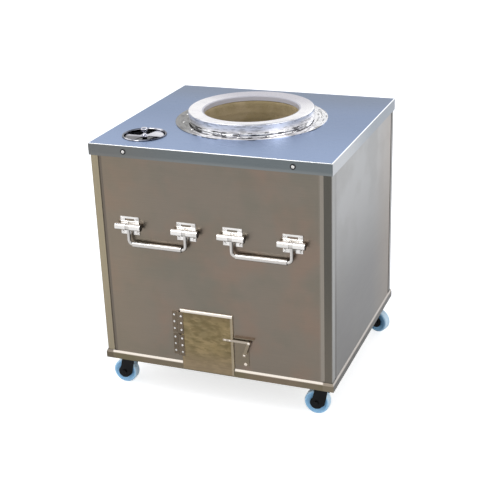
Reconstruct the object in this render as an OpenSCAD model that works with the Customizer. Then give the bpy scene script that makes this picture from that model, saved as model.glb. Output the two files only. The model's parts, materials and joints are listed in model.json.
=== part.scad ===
// Clay tandoor oven: a clay pot in a square stainless-steel cabinet on swivel castors.
// Origin: on the floor under the cabinet's centre. Front is -Y, right is +X, up is +Z.

/* [Cabinet] */
// Width of the top cover
cover_w = 710; // [640:1:900]
// Depth of the top cover
cover_d = 665; // [620:1:860]
// Height from the cabinet's bottom edge to the top of the cover
cabinet_h = 673; // [560:1:820]
// How far the cover stands out past the cabinet's posts
cover_overhang = 3; // [3:0.5:8]
// Thickness of the cover's sheet
cover_t = 1.5; // [1:0.1:2]
// Height of the cover's turned-down skirt
skirt_h = 35; // [28:1:45]
// Bend radius of the cover's edges
cover_bend_r = 3; // [2:0.5:5]
// Width of each arm of the corner posts
post_w = 23; // [18:1:35]
// Thickness of the corner posts
post_t = 2; // [1.5:0.1:3]
// Bend radius of the corner posts
post_bend_r = 3; // [2.5:0.5:5]
// Thickness of the panels
panel_t = 1.5; // [1:0.1:2]
// How far a panel's field is pressed forward from its edge strips
panel_press = 3; // [2:0.5:3.5]
// Width of the bevel round a panel's field
panel_bevel = 14; // [8:1:24]
// Width of a panel's edge strip that lies behind a post
panel_strip = 18; // [12:1:20]

/* [Base] */
// Height of the bottom rail round the cabinet
rail_h = 26; // [18:1:34]
// Thickness of the bottom rail's sheet
rail_t = 1.5; // [1:0.1:2]
// How far the bottom rail stands out past the panels' fields
rail_proud = 3; // [2.5:0.5:5]
// Height of the bottom rail's sloping lip
rail_lip_h = 8; // [4:1:10]
// Width of the base frame's flat leg
base_leg_w = 40; // [30:1:60]
// Thickness of the base frame's flat leg
base_leg_t = 3; // [2:0.5:5]
// Side of the square corner plates that carry the castors
corner_plate_w = 104; // [100:1:130]
// Thickness of the base plate
base_plate_t = 1.5; // [1:0.1:3]
// Leg of the top frame's angle section
top_angle_w = 25; // [20:1:35]
// Thickness of the top frame's angle section
top_angle_t = 3; // [2:0.5:4]

/* [Mouth] */
// Sideways place of the mouth
mouth_x = 3; // [-10:1:10]
// Place of the mouth from front to back
mouth_y = 12; // [-10:1:20]
// Inner radius of the mouth ring
mouth_r = 140.7; // [120:0.1:160]
// Outer radius of the mouth ring
ring_r = 184.6; // [178:0.1:190]
// Height of the mouth ring's top above the cover
ring_top = 33.7; // [28:0.1:45]
// Height of the mouth ring's outer wall
ring_wall_h = 24; // [15:1:26]
// How far the ring's top face slopes down to the hole
ring_slope = 4; // [2:0.5:6]
// Depth of the ring's inner lip
ring_lip_h = 14; // [6:0.5:15]
// Thickness of the ring's sheet
ring_t = 1.5; // [1:0.1:2]
// Outer radius of the flange's neck
neck_r = 181.6; // [174.5:0.1:182]
// Outer radius of the flange plate
flange_r = 224; // [215:1:235]
// Thickness of the flange's sheet
flange_t = 1.5; // [1:0.1:2]
// Radius of the rivet circle on the flange
rivet_circle_r = 199; // [190:1:208]
// Number of rivets on the flange
rivet_count = 15; // [8:1:24]
// Angle of the first rivet
rivet_phase = -176; // [-180:1:180]
// Radius of a flange rivet's head
rivet_head_r = 4.2; // [3:0.1:6]
// Radius of a flange rivet's shank
rivet_shank_r = 2; // [1.5:0.1:2.5]

/* [Pot and hearth] */
// Thickness of the clay wall
clay_wall = 32; // [24:1:34]
// Inner radius of the pot's widest place
belly_r = 235; // [220:1:245]
// Inner radius of the pot's foot
foot_r = 215; // [200:1:230]
// Height of the pot's widest place above its foot
belly_h = 210; // [150:1:260]
// Radius between the ring's lip and the pot's mouth wall
mouth_step = 0.3; // [0:0.1:4]
// Thickness of the hearth slab under the pot
slab_t = 39.5; // [30:0.5:60]
// Side of the square hearth slab
slab_w = 516; // [500:1:525]
// Radius of the charcoal grate
grate_r = 130; // [110:1:135]
// Thickness of the charcoal grate
grate_t = 10; // [8:1:16]
// Height of the grate's underside above the hearth
grate_h = 68; // [50:1:90]
// Width of a grate bar
grate_bar = 10; // [8:1:14]
// Width of a grate gap
grate_gap = 12; // [8:1:16]
// Free space between the insulation and the panels' edge strips
wool_gap = 10; // [10:1:20]

/* [Ash chute and door] */
// Sideways place of the chute and its door opening
chute_x = -22.5; // [-60:0.5:40]
// Clear width and height of the chute
chute_w = 112; // [90:1:115]
// Height of the chute's floor above the hearth slab
chute_up = 6; // [3:1:20]
// Thickness of the ducts' sheet
duct_t = 1.5; // [1:0.1:2]
// Width of the ash door
door_w = 164; // [150:1:180]
// Height of the ash door
door_h = 191.6; // [175:0.1:200]
// Height of the door's bottom edge above the cabinet's bottom edge
door_up = 5; // [2:0.5:10]
// Height of the door's face above the panel
door_out = 6; // [6:0.5:9]
// Thickness of the door's sheet
door_t = 1.5; // [1:0.1:2]
// Bend radius of the door's edges
door_bend_r = 5; // [2:0.1:5.3]

/* [Door hinges] */
// Distance of the hinge axis from the door's left edge
hinge_gap = 5.5; // [5:0.5:8]
// Height of the hinge axis above the panel
hinge_out = 4.6; // [4.4:0.1:5]
// Radius of the hinge knuckles
knuckle_r = 3.4; // [3.3:0.1:3.6]
// Radius of the hinge pins
hinge_pin_r = 1.75; // [1.5:0.05:2]
// Height of a hinge
hinge_h = 68; // [60:1:72]
// Width of the fixed leaf, from the hinge axis
leaf_fixed_w = 19.6; // [16:0.1:24]
// Width of the door's leaf, from the hinge axis
leaf_door_w = 16.6; // [15:0.1:22]
// Thickness of the leaves
leaf_t = 1.5; // [1.2:0.1:1.6]
// Distance between a leaf's screws
leaf_pitch = 22; // [18:1:24]
// Height of the upper hinge's middle above the cabinet's bottom edge
hinge_z_high = 152.6; // [145:0.1:160]
// Height of the lower hinge's middle above the cabinet's bottom edge
hinge_z_low = 81; // [70:0.1:84]

/* [Door latch] */
// Distance of the latch's stud from the door's right edge
latch_gap = 34.2; // [30:0.1:40]
// Height of the latch's stud above the cabinet's bottom edge
latch_z = 79.9; // [75:0.1:85]
// Sideways step from the stud to the hook's pivot
hook_side = 14.2; // [8:0.1:18]
// Height of the hook's pivot above the stud
hook_up = 40.1; // [36:0.1:42]
// Length of the door's strap from the hook's pivot to its free end
strap_l = 76; // [65:1:85]
// Height of the strap
strap_w = 7; // [6:0.5:9]
// Thickness of the strap and the hook
latch_t = 2.5; // [1.5:0.5:3]
// Width of the hook's bar
hook_w = 9; // [8:0.5:12]
// Radius of the stud's neck that the hook drops on
stud_r = 3; // [2.5:0.1:3.5]
// Thickness of the latch's backing plate
latch_plate_t = 2; // [1.5:0.5:3]
// Width of the backing plate
latch_plate_w = 42; // [40:1:50]
// Width of the backing plate's top lip
latch_lip_w = 61; // [55:1:70]

/* [Lifting handles] */
// Distance of a handle's middle from the cabinet's middle
handle_x = 156; // [150:1:180]
// Distance between a handle's two legs
handle_span = 174; // [160:1:190]
// Height of the handles' hinge line above the cabinet's bottom edge
handle_z = 437.5; // [350:0.5:480]
// Drop from the hinge line to the grip's axis
bail_drop = 51.5; // [45:0.5:65]
// Radius of the bail's rod
bail_rod_r = 5; // [4:0.1:5.5]
// Bend radius of the bail, at the rod's axis
bail_bend_r = 12; // [9:0.5:15]
// Outer radius of the grip tube
grip_r = 8; // [7:0.1:9]
// Height of the hinge line above the panel
handle_out = 13; // [12.5:0.1:16]
// Radius of a bracket's barrel
barrel_r = 10; // [9:0.1:10.5]
// Width of a bracket's barrel
barrel_w = 78; // [70:1:80]
// Radius of a handle's pin
handle_pin_r = 3; // [2.5:0.1:3.5]
// Width of a bracket's plate
bracket_w = 57; // [54:1:64]
// Height of a bracket's plate
bracket_h = 53; // [50:1:60]
// Thickness of a bracket's plate
bracket_t = 2; // [1.5:0.1:2.5]
// Distance of the bracket's screws from its middle, sideways
bracket_screw_x = 23.5; // [20:0.5:25]
// Distance of the bracket's screws from its middle, up and down
bracket_screw_z = 20.5; // [18:0.5:23]

/* [Vent] */
// Sideways place of the vent
vent_x = -233; // [-245:1:-225]
// Place of the vent from front to back
vent_y = -222; // [-240:1:-215]
// Outer radius of the vent's rim
vent_rim_r = 64; // [60:0.5:68]
// Width of the vent's rolled rim
vent_rim_w = 6; // [5:0.5:8]
// Height of the rim above the cover
vent_rim_h = 3; // [2:0.5:4]
// Depth of the vent cup's floor below the cover
vent_cup_h = 11; // [10:0.5:18]
// Thickness of the vent cup's sheet
vent_t = 1.2; // [1:0.1:2]
// Outer radius of the vent's openings
vent_port_r = 46; // [40:1:47]
// Radius of the vent's hub
vent_hub_r = 12; // [10:0.5:15]
// Angle that each vent opening spans
vent_port_angle = 82; // [60:1:88]
// Direction of the open shutter's wings
vent_wing_turn = 38; // [0:1:90]
// Angle that each shutter wing spans
vent_wing_angle = 76; // [70:1:80]
// Outer radius of the shutter's wings
vent_wing_r = 54; // [50:0.5:55]
// Height of the shutter above the cup's floor
vent_lift = 7; // [3:0.5:8]
// Radius of the vent's pivot
vent_pivot_r = 3; // [2.5:0.1:4]
// Height of the vent's knob
vent_knob_h = 24; // [16:0.5:26]
// Outer radius of the vent's riser tube
riser_r = 50; // [49:0.5:54]
// Height of the duct from the riser to the chute
cross_h = 66; // [50:1:80]
// Depth of the duct from the riser to the chute, front to back
cross_d = 54; // [40:1:56]

/* [Castors] */
// Height of a castor from the floor to the top of its plate
castor_h = 108; // [100:1:125]
// Distance of the castors' swivels from the cabinet's sides
castor_side = 44; // [44:0.5:52]
// Distance of the front castors' swivels from the cabinet's front
castor_front = 59; // [50:0.5:70]
// Distance of the rear castors' swivels from the cabinet's rear
castor_rear = 40; // [36:0.5:60]
// Radius of the wheels
wheel_r = 37.5; // [34:0.5:40]
// Width of the wheels
wheel_w = 26; // [22:0.5:30]
// Trail from the swivel to the axle
castor_trail = 18; // [15:0.5:26]
// Length of a castor's top plate
castor_plate_l = 80; // [78:1:84]
// Depth of a castor's top plate
castor_plate_w = 60; // [58:1:66]
// Distance between the bolts along the plate
castor_bolt_x = 62; // [60:1:66]
// Distance between the bolts across the plate
castor_bolt_y = 42; // [40:1:48]
// Radius of the castor bolts
castor_bolt_r = 4; // [3:0.1:4.5]
// Radius of the kingpin
kingpin_r = 6; // [5:0.5:8]
// Radius of the axles
axle_r = 4; // [3.5:0.1:6]
// Radius of the fork's round hub cover
hub_cover_r = 19; // [14:0.5:21]
// Thickness of the fork's cheeks
fork_t = 3; // [2:0.5:4]
// Turn of the rear right castor about its swivel
castor_turn_right = 162; // [0:1:360]
// Turn of the rear left castor about its swivel
castor_turn_left = -18; // [-180:1:180]

/* [Fits] */
// Radial running clearance of pins in their bores
run_gap = 0.05; // [0.02:0.01:0.1]
// Gap between curved faces that rest on each other
seat_gap = 0.3; // [0.2:0.05:0.4]
// Side clearance of parts that turn next to each other
side_gap = 0.3; // [0.2:0.05:0.5]
// Clearance of the screws and rivets in their holes
hole_gap = 0.1; // [0.05:0.05:0.3]

/* [Hidden] */
$fn = 96;

// Main levels and faces.
bottom_z = castor_h;
top_z = bottom_z + cabinet_h;
under_z = top_z - cover_t;
// The panels end below the cover's bend.
panel_top = top_z - cover_bend_r - 1;
cab_x = cover_w / 2 - cover_overhang;
cab_y = cover_d / 2 - cover_overhang;
// A field's outer face lies this far past the posts' outer faces.
field_out = panel_press - post_t;
front_face = cab_y + field_out;
side_face = cab_x + field_out;
leg_z = bottom_z + base_leg_t;
floor_z = leg_z + base_plate_t;

// Pot and hearth.
slab_top = floor_z + slab_t;
pot_foot = slab_top;
lip_bottom = top_z + ring_top - ring_slope - ring_lip_h;
pot_top = lip_bottom - seat_gap;
pot_h = pot_top - pot_foot;
pot_mouth_r = mouth_r + mouth_step;
pot_steps = 24;

// The pot's inner radius at a height above its foot: a swelling foot and a narrowing shoulder.
function pot_r(h) = h < belly_h
    ? foot_r + (belly_r - foot_r) * sin(90 * h / belly_h)
    : pot_mouth_r + (belly_r - pot_mouth_r) * (1 + cos(180 * (h - belly_h) / (pot_h - belly_h))) / 2;
pot_heights = [for (i = [0 : pot_steps]) pot_h * i / pot_steps];
pot_inner = [for (h = pot_heights) [pot_r(h), h]];
pot_outer = [for (h = pot_heights) [pot_r(h) + clay_wall, h]];

// Reverses a list of points.
function back(p) = [for (i = [len(p) - 1 : -1 : 0]) p[i]];
// Points of an arc round c, from angle a to angle b.
function arc(c, r, a, b, n = 6) =
    [for (i = [0 : n]) let (t = a + (b - a) * i / n) c + r * [cos(t), sin(t)]];

// Chute.
chute_z = slab_top + chute_up;
chute_out_w = chute_w + 2 * duct_t;
chute_front = front_face - panel_t;

// Vent: the two openings lie between the open shutter's wings.
cup_r = vent_rim_r - vent_rim_w + 1;
cup_floor = top_z - vent_cup_h;
wing_z = cup_floor + vent_lift;
wing_t = 1.5;
vent_head_r = 5;
vent_head_h = 2;
port_turn = vent_wing_turn + 90;
cross_z = chute_z + (chute_w - cross_h) / 2;
cross_front = chute_front - 10;
cross_box_w = 2 * riser_r + 1;

// Door and hinges.
door_x = chute_x - door_w / 2;
door_bottom = bottom_z + door_up;
door_face = front_face + door_out;
hinge_x = door_x - hinge_gap;
hinge_y = -(front_face + hinge_out);
knuckle_low = (hinge_h + 4) / 3;
knuckle_high = hinge_h - knuckle_low;
hinge_levels = [bottom_z + hinge_z_high, bottom_z + hinge_z_low];
leaf_clear_r = knuckle_r + side_gap;
fixed_screw_x = hinge_x - leaf_fixed_w + 6;
door_screw_x = hinge_x + leaf_door_w - 6.5;

// Latch: a strap on the door carries a hook that drops on a stud beside the door.
latch_x = door_x + door_w + latch_gap;
stud_z = bottom_z + latch_z;
strap_face = door_face + latch_t;
hook_face = strap_face + side_gap + latch_t;
latch_pin_r = 2.5;
latch_plate_x = door_x + door_w + 3.5;
latch_plate_low = stud_z - 38;
latch_plate_high = stud_z + hook_up + 12;
latch_low_rivet = stud_z - 33.5;
strap_end = hook_side - strap_l;
strap_rivet_r = 1.5;
strap_rivet_x = [strap_end + 4, strap_end + 18];

// Handles: the front pair, and the same pair turned to the rear.
hinge_line_z = bottom_z + handle_z;
eye_w = 2 * bail_rod_r + 1.8;
eye_r = barrel_r - 1;
slot_w = eye_w + 2 * side_gap;
bracket_screw_r = 2.5;
bracket_head_r = 4.4;

// Castors: swivel place and turn. At no turn the wheel trails towards -X.
castors = [
    [-(cab_x - castor_side), -(cab_y - castor_front), 0],
    [cab_x - castor_side, -(cab_y - castor_front), 0],
    [-(cab_x - castor_side), cab_y - castor_rear, castor_turn_left],
    [cab_x - castor_side, cab_y - castor_rear, castor_turn_right]
];
castor_plate_t = 2.5;
plate_z = bottom_z - castor_plate_t;
race_r = 20;
race_h = 4;
fork_top_z = plate_z - race_h - side_gap;
fork_head_h = 8;
fork_head_r = 23;
cheek_front = 19;
crown_t = 3;
crown_z = fork_top_z - fork_head_h - crown_t;
cheek_in = wheel_w / 2 + 2;
kingpin_head_h = 3;
axle_head_h = 4;

// Fasteners.
cover_screw_x = 247;
cover_screw_z = top_z - 18;
cover_screw_r = 2.4;
cover_head_r = 5;
washer_r = 8;
washer_t = 1;
leaf_screw_r = 1.9;
leaf_head_r = 3.3;

steel = "silver";
bright = "gainsboro";
dark = [0.15, 0.15, 0.16];
blue = [0.42, 0.64, 0.82];
clay = [0.62, 0.5, 0.36];
olive = [0.52, 0.46, 0.31];

// ---- helpers ----

// A rectangle with its two upper corners rounded, standing on the X axis.
module arch(w, h, r) {
    translate([-w / 2 + r, 0]) square([w - 2 * r, h]);
    translate([-w / 2, 0]) square([w, h - r]);
    for (s = [-1, 1])
        translate([s * (w / 2 - r), h - r]) circle(r);
}

// A block whose top edges are rounded on all four sides.
module crowned_block(w, d, h, r) {
    intersection() {
        translate([0, d / 2, 0]) rotate([90, 0, 0]) linear_extrude(d) arch(w, h, r);
        translate([-w / 2, 0, 0]) rotate([90, 0, 90]) linear_extrude(w) arch(d, h, r);
    }
}

// A flat square ring, outer size w by d, leg width leg.
module ring_plate(w, d, leg, t) {
    difference() {
        translate([-w / 2, -d / 2, 0]) cube([w, d, t]);
        translate([leg - w / 2, leg - d / 2, -1]) cube([w - 2 * leg, d - 2 * leg, t + 2]);
    }
}

// Repeats what is drawn at the front at the rear too.
module both_ends() {
    children();
    rotate([0, 0, 180]) children();
}

// A cylinder that runs from y = 0 towards the front.
module peg(r, l) {
    rotate([90, 0, 0]) cylinder(r = r, h = l);
}

// A screw or rivet with a domed head, its head's seat at y = 0, its shank running to the rear.
module domed_pin(head_r, head_h, shank_r, shank_l) {
    rotate([90, 0, 0]) rotate_extrude()
        polygon(concat([[0, -shank_l], [shank_r, -shank_l], [shank_r, 0], [head_r, 0]],
            [for (i = [1 : 5]) [head_r * cos(90 * i / 6), head_h * sin(90 * i / 6)]], [[0, head_h]]));
}

// A sector of a disc between two radii, centred on the X axis.
module sector(r_in, r_out, angle, t) {
    rotate([0, 0, -angle / 2]) rotate_extrude(angle = angle)
        translate([r_in, 0]) square([r_out - r_in, t]);
}

// ---- cabinet ----

// A block whose upper edges slope in on all four sides: by run, over a height of rise.
module sloped_block(w, d, h, run, rise) {
    intersection() {
        translate([0, d / 2, 0]) rotate([90, 0, 0]) linear_extrude(d) sloped_outline(w, h, run, rise);
        translate([-w / 2, 0, 0]) rotate([90, 0, 90]) linear_extrude(w) sloped_outline(d, h, run, rise);
    }
}

module sloped_outline(w, h, run, rise) {
    polygon([[-w / 2, 0], [w / 2, 0], [w / 2, h - rise],
        [w / 2 - run, h], [run - w / 2, h], [-w / 2, h - rise]]);
}

// The rail round all four sides: an upright strip with a lip that slopes in to the panels.
module rails() {
    w = 2 * (side_face + rail_proud);
    d = 2 * (front_face + rail_proud);
    difference() {
        sloped_block(w, d, rail_h, rail_proud, rail_lip_h);
        translate([0, 0, -1])
            sloped_block(w - 2 * rail_t, d - 2 * rail_t, rail_h + 1, rail_proud, rail_lip_h);
        translate([0, 0, rail_h / 2]) cube([2 * side_face, 2 * front_face, rail_h + 2], center = true);
    }
}

// Flat frame with corner plates for the castors, and the rail round it.
module base_frame() {
    leg = base_leg_w + field_out + rail_proud;
    color(steel) difference() {
        translate([0, 0, bottom_z]) union() {
            rails();
            ring_plate(2 * (side_face + rail_proud), 2 * (front_face + rail_proud), leg, base_leg_t);
            for (sx = [-1, 1], sy = [-1, 1])
                translate([sx * (cab_x - corner_plate_w / 2), sy * (cab_y - corner_plate_w / 2),
                    base_leg_t / 2])
                    cube([corner_plate_w, corner_plate_w, base_leg_t], center = true);
        }
        castor_bolt_holes();
    }
}

module base_plate() {
    color(steel) difference() {
        translate([0, 0, leg_z + base_plate_t / 2])
            cube([2 * (cab_x - post_t - 2), 2 * (cab_y - post_t - 2), base_plate_t], center = true);
        castor_bolt_holes();
    }
}

// One corner post: an angle with a rounded bend, its corner at the origin, arms along +X and +Y.
module post() {
    translate([0, 0, leg_z]) linear_extrude(under_z - leg_z) {
        translate([post_bend_r, 0]) square([post_w - post_bend_r, post_t]);
        translate([0, post_bend_r]) square([post_t, post_w - post_bend_r]);
        intersection() {
            difference() {
                translate([post_bend_r, post_bend_r]) circle(post_bend_r);
                translate([post_bend_r, post_bend_r]) circle(post_bend_r - post_t);
            }
            square(post_bend_r);
        }
    }
}

module corner_posts() {
    color(steel) both_ends() {
        translate([-cab_x, -cab_y, 0]) post();
        translate([cab_x, -cab_y, 0]) rotate([0, 0, 90]) post();
    }
}

module top_frame() {
    w = 2 * (cab_x - post_t - panel_t);
    d = 2 * (cab_y - post_t - panel_t);
    color(steel) difference() {
        union() {
            translate([0, 0, under_z - top_angle_t]) ring_plate(w, d, top_angle_w, top_angle_t);
            translate([0, 0, under_z - top_angle_w]) ring_plate(w, d, top_angle_t, top_angle_w);
        }
        cover_screw_holes();
    }
}

// A pressed panel between two posts whose outer faces are half_w from the middle and at y = -face.
// Its field stands forward, its bevels run back to edge strips that lie behind the posts.
module pressed_panel(half_w, face) {
    edge = half_w - post_w;
    strip = -(face - post_t);
    outer = [[-edge - panel_strip, strip], [-edge, strip], [-edge + panel_bevel, strip - panel_press],
        [edge - panel_bevel, strip - panel_press], [edge, strip], [edge + panel_strip, strip]];
    inner = [for (p = outer) p + [0, panel_t]];
    translate([0, 0, leg_z]) linear_extrude(panel_top - leg_z) polygon(concat(outer, back(inner)));
}

module front_panel() {
    color(steel) difference() {
        pressed_panel(cab_x, cab_y);
        cover_screw_holes();
        bracket_screw_holes();
        translate([chute_x - chute_w / 2, -front_face - 1, chute_z]) cube([chute_w, panel_t + 2, chute_w]);
        for (z = hinge_levels, k = [-1 : 1])
            translate([fixed_screw_x, -front_face + panel_t + 1, z + k * leaf_pitch])
                peg(leaf_screw_r + hole_gap, panel_t + 2);
        for (z = [stud_z, latch_low_rivet])
            translate([latch_x, -front_face + panel_t + 1, z]) peg(latch_pin_r + hole_gap, panel_t + 2);
    }
}

module rear_panel() {
    color(steel) rotate([0, 0, 180]) difference() {
        pressed_panel(cab_x, cab_y);
        cover_screw_holes();
        bracket_screw_holes();
    }
}

module left_panel() {
    color(steel) rotate([0, 0, -90]) pressed_panel(cab_y, cab_x);
}

module right_panel() {
    color(steel) rotate([0, 0, 90]) pressed_panel(cab_y, cab_x);
}

module top_cover() {
    skirt_z = top_z - skirt_h;
    color(steel) difference() {
        translate([0, 0, skirt_z]) crowned_block(cover_w, cover_d, skirt_h, cover_bend_r);
        translate([0, 0, skirt_z - 1])
            crowned_block(cover_w - 2 * cover_t, cover_d - 2 * cover_t,
                skirt_h + 1 - cover_t, cover_bend_r - cover_t);
        translate([mouth_x, mouth_y, skirt_z]) cylinder(r = neck_r - flange_t, h = skirt_h + 1);
        translate([vent_x, vent_y, skirt_z]) cylinder(r = cup_r + seat_gap, h = skirt_h + 1);
        rivet_places() translate([0, 0, -skirt_h]) cylinder(r = rivet_shank_r + hole_gap, h = skirt_h + 5);
        cover_screw_holes();
    }
}

// ---- cover fasteners ----

module cover_screw_places() {
    both_ends() for (s = [-1, 1])
        translate([s * cover_screw_x, -cover_d / 2, cover_screw_z]) children();
}

module cover_screw_holes() {
    cover_screw_places() translate([0, 30, 0]) peg(cover_screw_r + hole_gap, 40);
}

module cover_screws() {
    color(bright) cover_screw_places() translate([0, -washer_t, 0])
        domed_pin(cover_head_r, 3, cover_screw_r, 17);
}

module cover_washers() {
    color(dark) cover_screw_places() difference() {
        peg(washer_r, washer_t);
        translate([0, 1, 0]) peg(cover_screw_r + hole_gap, washer_t + 2);
    }
}

// ---- mouth ----

module at_mouth() {
    translate([mouth_x, mouth_y, top_z]) children();
}

module rivet_places() {
    at_mouth() for (i = [0 : rivet_count - 1])
        rotate([0, 0, rivet_phase + i * 360 / rivet_count])
            translate([rivet_circle_r, 0, 0]) children();
}

// Plate on the cover with a neck bent up from its inner edge.
module mouth_flange() {
    neck_top = ring_top - ring_slope * (ring_r - neck_r) / (ring_r - mouth_r) - ring_t - seat_gap;
    bend = 3;
    color(bright) difference() {
        at_mouth() rotate_extrude() polygon(concat(
            [[neck_r - flange_t, 0], [flange_r, 0], [flange_r, flange_t]],
            arc([neck_r + bend, flange_t + bend], bend, 270, 180),
            [[neck_r, neck_top], [neck_r - flange_t, neck_top]]));
        rivet_places() translate([0, 0, -1]) cylinder(r = rivet_shank_r + hole_gap, h = flange_t + 2);
    }
}

// Cap ring over the neck: outer wall, sloping top and a lip down to the pot's mouth.
module mouth_ring() {
    edge = 3;
    lip_top = ring_top - ring_slope;
    wall_low = ring_top - ring_wall_h;
    lip_low = lip_top - ring_lip_h;
    color(bright) at_mouth() rotate_extrude() polygon(concat(
        [[ring_r - ring_t, wall_low], [ring_r, wall_low]],
        arc([ring_r - edge, ring_top - edge], edge, 0, 85),
        arc([mouth_r + edge, lip_top - edge + 0.3], edge, 95, 180),
        [[mouth_r, lip_low], [mouth_r + ring_t, lip_low]],
        arc([mouth_r + edge, lip_top - edge + 0.3], edge - ring_t, 180, 95),
        arc([ring_r - edge, ring_top - edge], edge - ring_t, 85, 0)));
}

// Rivets with a domed head above the flange and a flat tail under the cover.
module flange_rivets() {
    tail_z = -cover_t;
    color(bright) rivet_places() {
        translate([0, 0, flange_t]) rotate([-90, 0, 0])
            domed_pin(rivet_head_r, 2.4, rivet_shank_r, flange_t + cover_t + 0.5);
        translate([0, 0, tail_z - 1]) cylinder(r = rivet_shank_r + 1, h = 1);
    }
}

// ---- pot and hearth ----

// The pot's outer shape, swollen by gap.
module pot_body(gap) {
    translate([mouth_x, mouth_y, pot_foot]) rotate_extrude()
        polygon(concat([[0, 0]], [for (p = pot_outer) p + [gap, 0]], [[0, pot_h]]));
}

module clay_pot() {
    color(clay) difference() {
        translate([mouth_x, mouth_y, pot_foot]) rotate_extrude()
            polygon(concat(pot_outer, back(pot_inner)));
        translate([chute_x - chute_w / 2, mouth_y - belly_r - 2 * clay_wall, chute_z])
            cube([chute_w, belly_r, chute_w]);
    }
}

module insulation() {
    half_x = cab_x - post_t - panel_t - wool_gap;
    half_y = cab_y - post_t - panel_t - wool_gap;
    wool_top = cup_floor - 6;
    pocket = corner_plate_w - wool_gap;
    bolt_room = 8;
    color([0.85, 0.82, 0.75]) difference() {
        translate([-half_x, -half_y, floor_z]) cube([2 * half_x, 2 * half_y, wool_top - floor_z]);
        pot_body(seat_gap);
        translate([0, 0, floor_z + slab_t / 2])
            cube([slab_w + 2 * seat_gap, slab_w + 2 * seat_gap, slab_t + 0.01], center = true);
        translate([chute_x - chute_out_w / 2 - seat_gap, -cab_y, chute_z - duct_t - seat_gap])
            cube([chute_out_w + 2 * seat_gap, cab_y, chute_out_w + 2 * seat_gap]);
        translate([vent_x, vent_y, chute_z]) cylinder(r = riser_r + seat_gap, h = cabinet_h);
        cross_duct_shape(seat_gap);
        for (sx = [-1, 1], sy = [-1, 1])
            translate([sx * half_x, sy * half_y, floor_z])
                cube([2 * pocket, 2 * pocket, 2 * bolt_room], center = true);
    }
}

module hearth_slab() {
    color("tan") translate([-slab_w / 2, -slab_w / 2, floor_z]) cube([slab_w, slab_w, slab_t]);
}

// Round grate of parallel bars in a rim, on four legs.
module charcoal_grate() {
    rim = 12;
    pitch = grate_bar + grate_gap;
    rows = floor((grate_r - rim) / pitch);
    leg_r = 7;
    color(dark) translate([mouth_x, mouth_y, slab_top]) {
        translate([0, 0, grate_h]) difference() {
            cylinder(r = grate_r, h = grate_t);
            intersection() {
                translate([0, 0, -1]) cylinder(r = grate_r - rim, h = grate_t + 2);
                for (k = [-rows : rows])
                    translate([k * pitch - grate_gap / 2, -grate_r, -1])
                        cube([grate_gap, 2 * grate_r, grate_t + 2]);
            }
        }
        for (a = [45 : 90 : 315])
            rotate([0, 0, a]) translate([grate_r - leg_r - 1, 0, 0]) cylinder(r = leg_r, h = grate_h + 1);
    }
}

// ---- ash chute and vent ----

module ash_chute() {
    color(steel) difference() {
        translate([chute_x - chute_out_w / 2, -chute_front, chute_z - duct_t])
            cube([chute_out_w, chute_front, chute_out_w]);
        translate([chute_x - chute_w / 2, -chute_front - 1, chute_z])
            cube([chute_w, chute_front + 2, chute_w]);
        pot_body(seat_gap);
        translate([chute_x - chute_w, -cross_front + duct_t, cross_z + duct_t])
            cube([chute_w, cross_d - 2 * duct_t, cross_h - 2 * duct_t]);
    }
}

// Flat duct from under the riser along the front to the chute's side, swollen by gap.
module cross_duct_shape(gap) {
    left = vent_x - cross_box_w / 2;
    rear = vent_y + cross_box_w / 2;
    translate([left - gap, -cross_front - gap, cross_z - gap])
        cube([cross_box_w + 2 * gap, cross_front + rear + 2 * gap, cross_h + 2 * gap]);
    translate([left - gap, -cross_front - gap, cross_z - gap])
        cube([chute_x - chute_out_w / 2 - left + gap, cross_d + 2 * gap, cross_h + 2 * gap]);
}

module vent_duct() {
    riser_top = cup_floor - vent_t;
    color(steel) difference() {
        union() {
            cross_duct_shape(0);
            translate([vent_x, vent_y, cross_z + duct_t])
                cylinder(r = riser_r, h = riser_top - cross_z - duct_t);
        }
        cross_duct_shape(-duct_t);
        translate([chute_x - chute_out_w / 2 - 10, -cross_front + duct_t, cross_z + duct_t])
            cube([20, cross_d - 2 * duct_t, cross_h - 2 * duct_t]);
        translate([vent_x, vent_y, cross_z + 2 * duct_t]) cylinder(r = riser_r - duct_t, h = cabinet_h);
    }
}

module at_vent() {
    translate([vent_x, vent_y, 0]) children();
}

// Cup with a rolled rim on the cover and two openings in its floor.
module vent_cup() {
    bead = vent_rim_w / 2;
    color(bright) at_vent() difference() {
        union() {
            rotate_extrude() polygon(concat(
                [[cup_r - vent_t, cup_floor - vent_t], [cup_r, cup_floor - vent_t], [cup_r, top_z]],
                [for (t = [22.5 : 22.5 : 157.5])
                    [vent_rim_r - bead + bead * cos(t), top_z + vent_rim_h * sin(t)]],
                [[cup_r - vent_t, top_z]]));
            translate([0, 0, cup_floor - vent_t]) cylinder(r = cup_r - vent_t / 2, h = vent_t);
        }
        for (k = [0, 180])
            rotate([0, 0, port_turn + k]) translate([0, 0, cup_floor - vent_t - 1])
                sector(vent_hub_r, vent_port_r, vent_port_angle, vent_t + 2);
        translate([0, 0, cup_floor - vent_t - 1]) cylinder(r = vent_pivot_r + hole_gap, h = vent_t + 2);
    }
}

// Stud through the cup's floor, with a collar that carries the shutter and a flat head over it.
module vent_pivot() {
    collar_r = 7;
    head_z = wing_z + wing_t + side_gap;
    color(bright) at_vent() {
        translate([0, 0, cup_floor - vent_t - 4]) cylinder(r = 6, h = 4, $fn = 6);
        translate([0, 0, cup_floor - vent_t - 2])
            cylinder(r = vent_pivot_r, h = head_z - cup_floor + vent_t + 3);
        translate([0, 0, cup_floor]) cylinder(r = collar_r, h = vent_lift - side_gap);
        translate([0, 0, head_z]) cylinder(r = vent_head_r, h = vent_head_h);
    }
}

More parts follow.
